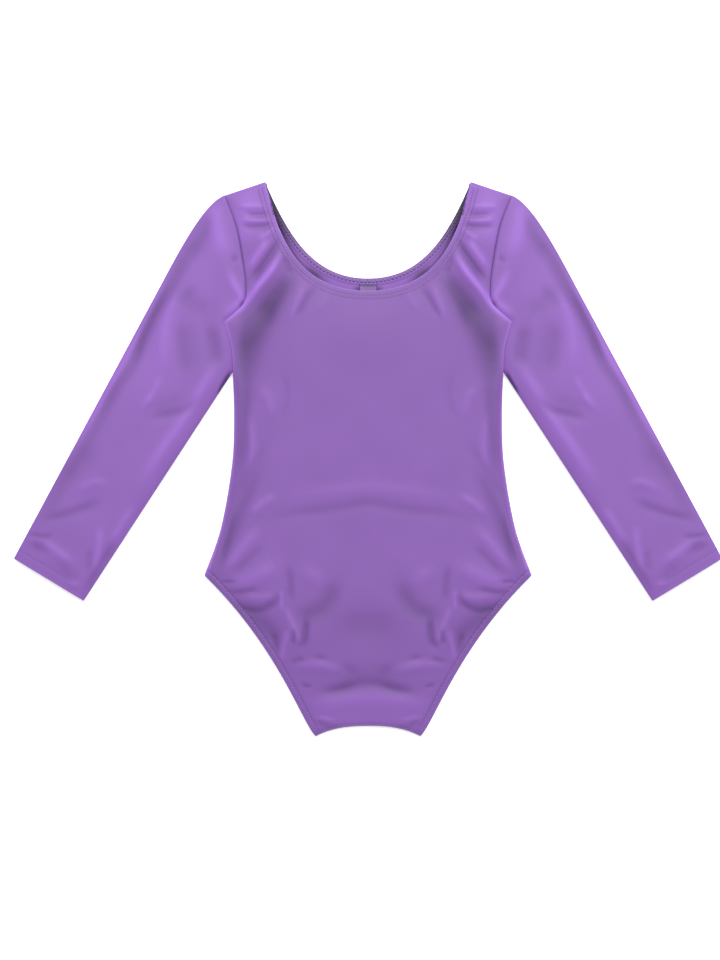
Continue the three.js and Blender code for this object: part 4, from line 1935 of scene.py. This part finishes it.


# ---------- creases of this garment ----------

# Each crease: line, width, height, then its tone, painted light where positive and painted shade where
# negative; one with no height is painted light or shade alone
FRONT_CREASES = (
    # Strap: short puckers beside the neck hem, then the diagonals that pull from it to the armpit
    Crease(((106, 252), (112, 228), (116, 196)), 15.0, 0.0, 0.36),
    Crease(((92, 225), (103, 224.5), (113, 226)), 2.8, -0.8, -0.32),
    Crease(((86, 214), (103, 213), (118, 214)), 3.2, -0.9, -0.34),
    Crease(((92, 232), (104, 232.5), (120, 232)), 2.8, 0.7, 0.18),
    Crease(((88, 219.5), (103, 219), (117, 220)), 2.4, 0.6, 0.16),
    Crease(((85, 213), (94, 206), (103, 200)), 3.2, 0.8, 0.22),
    Crease(((91, 202), (102, 187), (113, 172)), 4.0, 1.2, 0.45),
    Crease(((82, 205), (87, 192), (102, 171), (109, 161)), 3.0, -1.4, -0.55),
    Crease(((77, 193), (88.5, 174), (102.5, 157), (113, 145), (133, 125)), 4.0, 2.0, 0.75),
    Crease(((77, 186), (71, 169)), 2.5, -0.6, -0.25),
    Crease(((58, 163), (66, 142), (72, 124)), 4.5, 0.7, 0.2),
    Crease(((48, 159), (56.5, 145), (67, 128)), 3.2, -0.7, -0.28),
    Crease(((34, 156), (45, 136)), 4.0, 0.4, 0.1),
    # Hollow under the arm, which runs down beside the side seam
    Crease(((68, 178), (80, 157), (92, 134), (102, 112), (108, 92), (111, 66)), 11.0, -1.6, -0.48),
    Crease(((86, 148), (97, 131), (104, 113), (109, 96)), 7.0, -0.5, -0.3),
    Crease(((84, 168), (97, 146), (109, 126), (114, 100), (113, 66), (115, 36)), 7.5, -0.7, -0.3),
    Crease(((72, 170), (84, 153), (94, 140), (104, 128)), 5.5, -0.7, -0.1),
    Crease(((66, 168), (76, 157), (86, 141), (94, 116)), 6.5, -0.3, -0.34),
    Crease(((110, 136), (115, 118), (114, 94)), 6.0, -0.3, -0.22),
    Crease(((111, 70), (113, 45), (117, 8), (119, -20)), 5.0, -0.5, -0.25),
    Crease(((96, -4), (104, -19), (113, -38), (122, -62), (130, -82), (138, -105)), 5.5, -0.9, -0.32),
    Crease(((100, 66), (92, 54), (88, 38)), 5.0, 0.5, 0.12),
    Crease(((77, 78), (75, 54), (81, 32)), 3.5, -0.4, -0.12),
    Crease(((110, 42), (107, 8), (112, -14)), 4.0, 0.6, 0.18),
    Crease(((92, 18), (100, 2), (114, -20), (128, -40)), 4.5, -0.4, -0.15),
    # Arc across the belly
    Crease(
        (
            (-112, -59),
            (-67, -50),
            (-45, -48),
            (-25, -45),
            (0, -41),
            (25, -45),
            (45, -48),
            (67, -50),
            (112, -59),
        ),
        5.0,
        -0.5,
        -0.24,
    ),
    Crease(((-85, -38), (-40, -31), (0, -27), (40, -31), (85, -38)), 6.0, 0.4, 0.09),
    Crease(((-60, 118), (0, 112), (60, 118)), 38.0, 0.0, -0.1),
    Crease(((-70, -166), (0, -162), (70, -166)), 34.0, 0.0, -0.13),
    Crease(((84, -34), (98, -42), (109, -52)), 4.0, 0.7, 0.2),
    Crease(((98, -62), (118, -84), (135, -105)), 5.0, 0.8, 0.22),
    Crease(((97, -80), (114, -97), (126, -108)), 4.0, -0.6, -0.22),
    Crease(((122, -46), (131, -82), (138, -103)), 2.8, -0.5, -0.25),
    # Puffs and tucks gathered by the leg elastic
    Crease(((136, -113), (122, -113)), 1.8, -0.5, -0.35),
    Crease(((84, -98), (98, -106), (112, -112), (128, -118)), 8.0, 1.1, 0.2),
    Crease(((131, -123), (116, -122.5), (100, -119.5)), 3.0, -0.7, -0.34),
    Crease(((116, -128), (100, -129), (84, -127)), 5.0, 1.0, 0.1),
    Crease(((126, -130), (115, -137), (102, -139.5), (90, -135), (79, -123)), 3.8, -1.1, -0.45),
    Crease(((118, -138), (104, -147), (92, -156), (78, -170)), 9.0, -0.8, -0.4),
    Crease(((79.5, -121), (80.5, -140)), 2.4, 0.7, 0.28),
    Crease(((73, -98), (72, -112), (70.5, -133)), 3.4, -0.7, -0.3),
    Crease(((77, -136), (69, -155), (62, -172)), 3.6, 0.9, 0.24),
    Crease(((56.5, -146), (57.5, -158), (59, -168), (65, -175)), 3.2, -1.2, -0.5),
    Crease(((68, -157), (69.5, -171)), 2.2, -0.8, -0.42),
    Crease(((74, -157), (77.5, -171), (81, -187)), 3.4, 0.9, 0.28),
    Crease(((87, -160), (83, -180)), 3.4, -0.8, -0.35),
    Crease(((68, -145), (54, -143), (42, -137), (34, -126), (30, -112)), 8.0, -1.1, -0.42),
    Crease(((56, -104), (46, -112)), 7.0, 0.7, 0.12),
    Crease(((-26, -150), (0, -153), (26, -150)), 14.0, -0.8, -0.2),
    Crease(((72, -187), (58, -183.5)), 2.2, -0.7, -0.38),
    Crease(((50, -182), (38, -184)), 2.6, -0.5, -0.22),
    Crease(((74, -189), (58, -189.5), (40, -191), (20, -197)), 4.6, 0.8, 0.18),
    Crease(((61, -208), (53, -209)), 1.8, -0.6, -0.4),
    Crease(
        ((-50, -215), (-27, -212.5), (-9, -207), (9, -207), (27, -212.5), (50, -215)), 6.0, -1.0, -0.34
    ),
    Crease(((-40, -202), (0, -196), (40, -202)), 9.0, -0.3, -0.16),
    Crease(((42, -214.5), (28, -212), (10, -207)), 4.5, -0.5, -0.22),
    Crease(((20, -192), (12, -198)), 5.0, -0.5, -0.18),
    Crease(((-62, -227), (-27, -223), (0, -221), (27, -223), (62, -227)), 8.0, 1.0, 0.2),
    Crease(((-64, -240), (0, -236), (64, -240)), 13.0, 0.0, 0.12),
    Crease(((48, -240), (38, -246), (24, -247)), 2.6, -0.6, -0.3),
    Crease(((48, -238), (30, -241)), 2.2, 0.5, 0.15),
    # Side seam beside the hip, where a sliver of the back panel shows outside it
    Crease(((143.5, -78), (146, -90), (148.4, -103)), 0.9, -0.6, -0.4),
    Crease(((140.5, -80), (143.8, -92), (147, -105)), 1.3, 0.4, 0.3),
)

# Tones here too are painted light where positive and painted shade where negative
SLEEVE_CREASES = (
    # Cap
    Crease(((145, 238), (138, 210), (131, 184)), 8.5, 0.6, 0.36),
    Crease(((130, 176), (123, 160), (117, 148), (122, 140), (136, 130)), 4.0, 0.7, 0.42),
    Crease(((118, 141.5), (114, 144.5)), 1.6, -0.8, -0.8),
    Crease(((121.5, 185), (125, 183)), 1.8, -0.6, -0.45),
    Crease(((146, 230), (151, 210), (160, 193), (168, 182)), 6.0, -0.9, -0.3),
    # The long fold beside the outer edge
    Crease(((156, 204), (171, 180), (185, 154), (201, 126), (217, 86)), 6.4, -1.4, -0.46),
    Crease(((183, 160), (197, 134), (207, 113), (217, 84)), 3.2, -0.6, -0.34),
    Crease(((166, 198), (190, 158), (207, 124), (243, 57), (283, -13)), 3.2, 0.0, 0.4),
    # Painted shadow along the sleeve's lower edge beside the underarm
    Crease(((126, 82), (132, 71.5), (139, 59)), 1.6, 0.0, -1.4),
    Crease(((150, 205), (182, 122), (216, 50)), 26.0, 0.0, 0.12),
    Crease(((204, 116), (218, 84), (236, 60), (250, 34)), 5.0, -0.9, -0.3),
    Crease(((222, 82), (249, 32), (277, -15), (293, -46), (305, -74)), 6.0, -0.5, -0.24),
    Crease(((172, 160), (184, 134), (189, 104), (190, 76)), 6.0, 0.8, 0.16),
    Crease(((190, 76), (196, 64), (206, 48)), 3.5, 0.7, 0.16),
    # Hollows under the flap and at the elbow
    Crease(((146, 122), (142, 104), (139, 84)), 6.5, -0.9, -0.34),
    Crease(((174, 124), (172, 102), (168, 76)), 6.0, -0.7, -0.22),
    Crease(((164, 154), (170, 146)), 6.0, -0.5, -0.18),
    Crease(((172, 150), (160, 141), (146, 138)), 9.0, -0.3, -0.2),
    Crease(((167, 130), (164, 104), (161, 84)), 9.0, -0.3, -0.18),
    Crease(((200, 45), (186, 50), (170, 57)), 6.0, -0.3, -0.14),
    Crease(((126, 98), (140, 84), (156, 60), (172, 33), (192, 4), (214, -30)), 5.5, 0.9, 0.3),
    Crease(((156, 58), (168, 45), (182, 41), (202, 37)), 4.0, -0.9, -0.28),
    Crease(((198, 58), (210, 46)), 3.0, 0.5, 0.14),
    Crease(((252, 8), (268, -6), (280, -22)), 9.0, -0.6, -0.2),
    Crease(((268, -29), (252, -22), (240, -24)), 4.0, 0.6, 0.14),
    Crease(((244, -38), (262, -46), (284, -53), (302, -56)), 4.5, -0.8, -0.28),
    Crease(((214, -44), (226, -60), (238, -80)), 4.0, 0.8, 0.18),
    # Wrist
    Crease(((292, -58), (270, -70), (252, -78)), 14.0, 0.0, -0.06),
    Crease(((314, -69), (298, -72), (290, -70)), 2.8, -0.6, -0.25),
    Crease(((310, -80), (298, -84)), 5.0, -0.7, -0.32),
    Crease(((300, -76), (286, -86), (272, -96)), 4.5, 0.8, 0.2),
    Crease(((246, -62), (248, -84), (252, -108)), 4.0, 0.8, 0.24),
    Crease(((256, -84), (258, -104)), 3.5, -0.5, -0.18),
    Crease(((232, -74), (246, -98), (262, -124)), 3.6, -0.8, -0.34),
    Crease(((284, -98), (272, -110)), 6.0, -0.5, -0.18),
    Crease(((266, -116), (274, -114)), 3.0, 0.5, 0.18),
)


def main() -> None:
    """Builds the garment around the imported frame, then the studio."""
    logging.basicConfig(level=logging.INFO, format="%(message)s")
    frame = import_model()
    pattern, finishes = Pattern.from_frame(), Finishes()
    front_relief = Relief(FRONT_CREASES)
    back_relief = Relief((), unevenness=0.15, phase=1.7)
    Torso(pattern, finishes, front_relief, back_relief).build()
    for side in Side:
        fold = Fold.of(frame["joints"], f"{side.prefix}_sleeve")
        # The sleeves are a little lighter all over: painted light
        sleeve_relief = Relief(SLEEVE_CREASES, unevenness=0.25, phase=side.value, tone=0.1)
        Sleeve(pattern, finishes, side, fold, sleeve_relief).build()
    Studio().build()


if __name__ == "__main__":
    main()
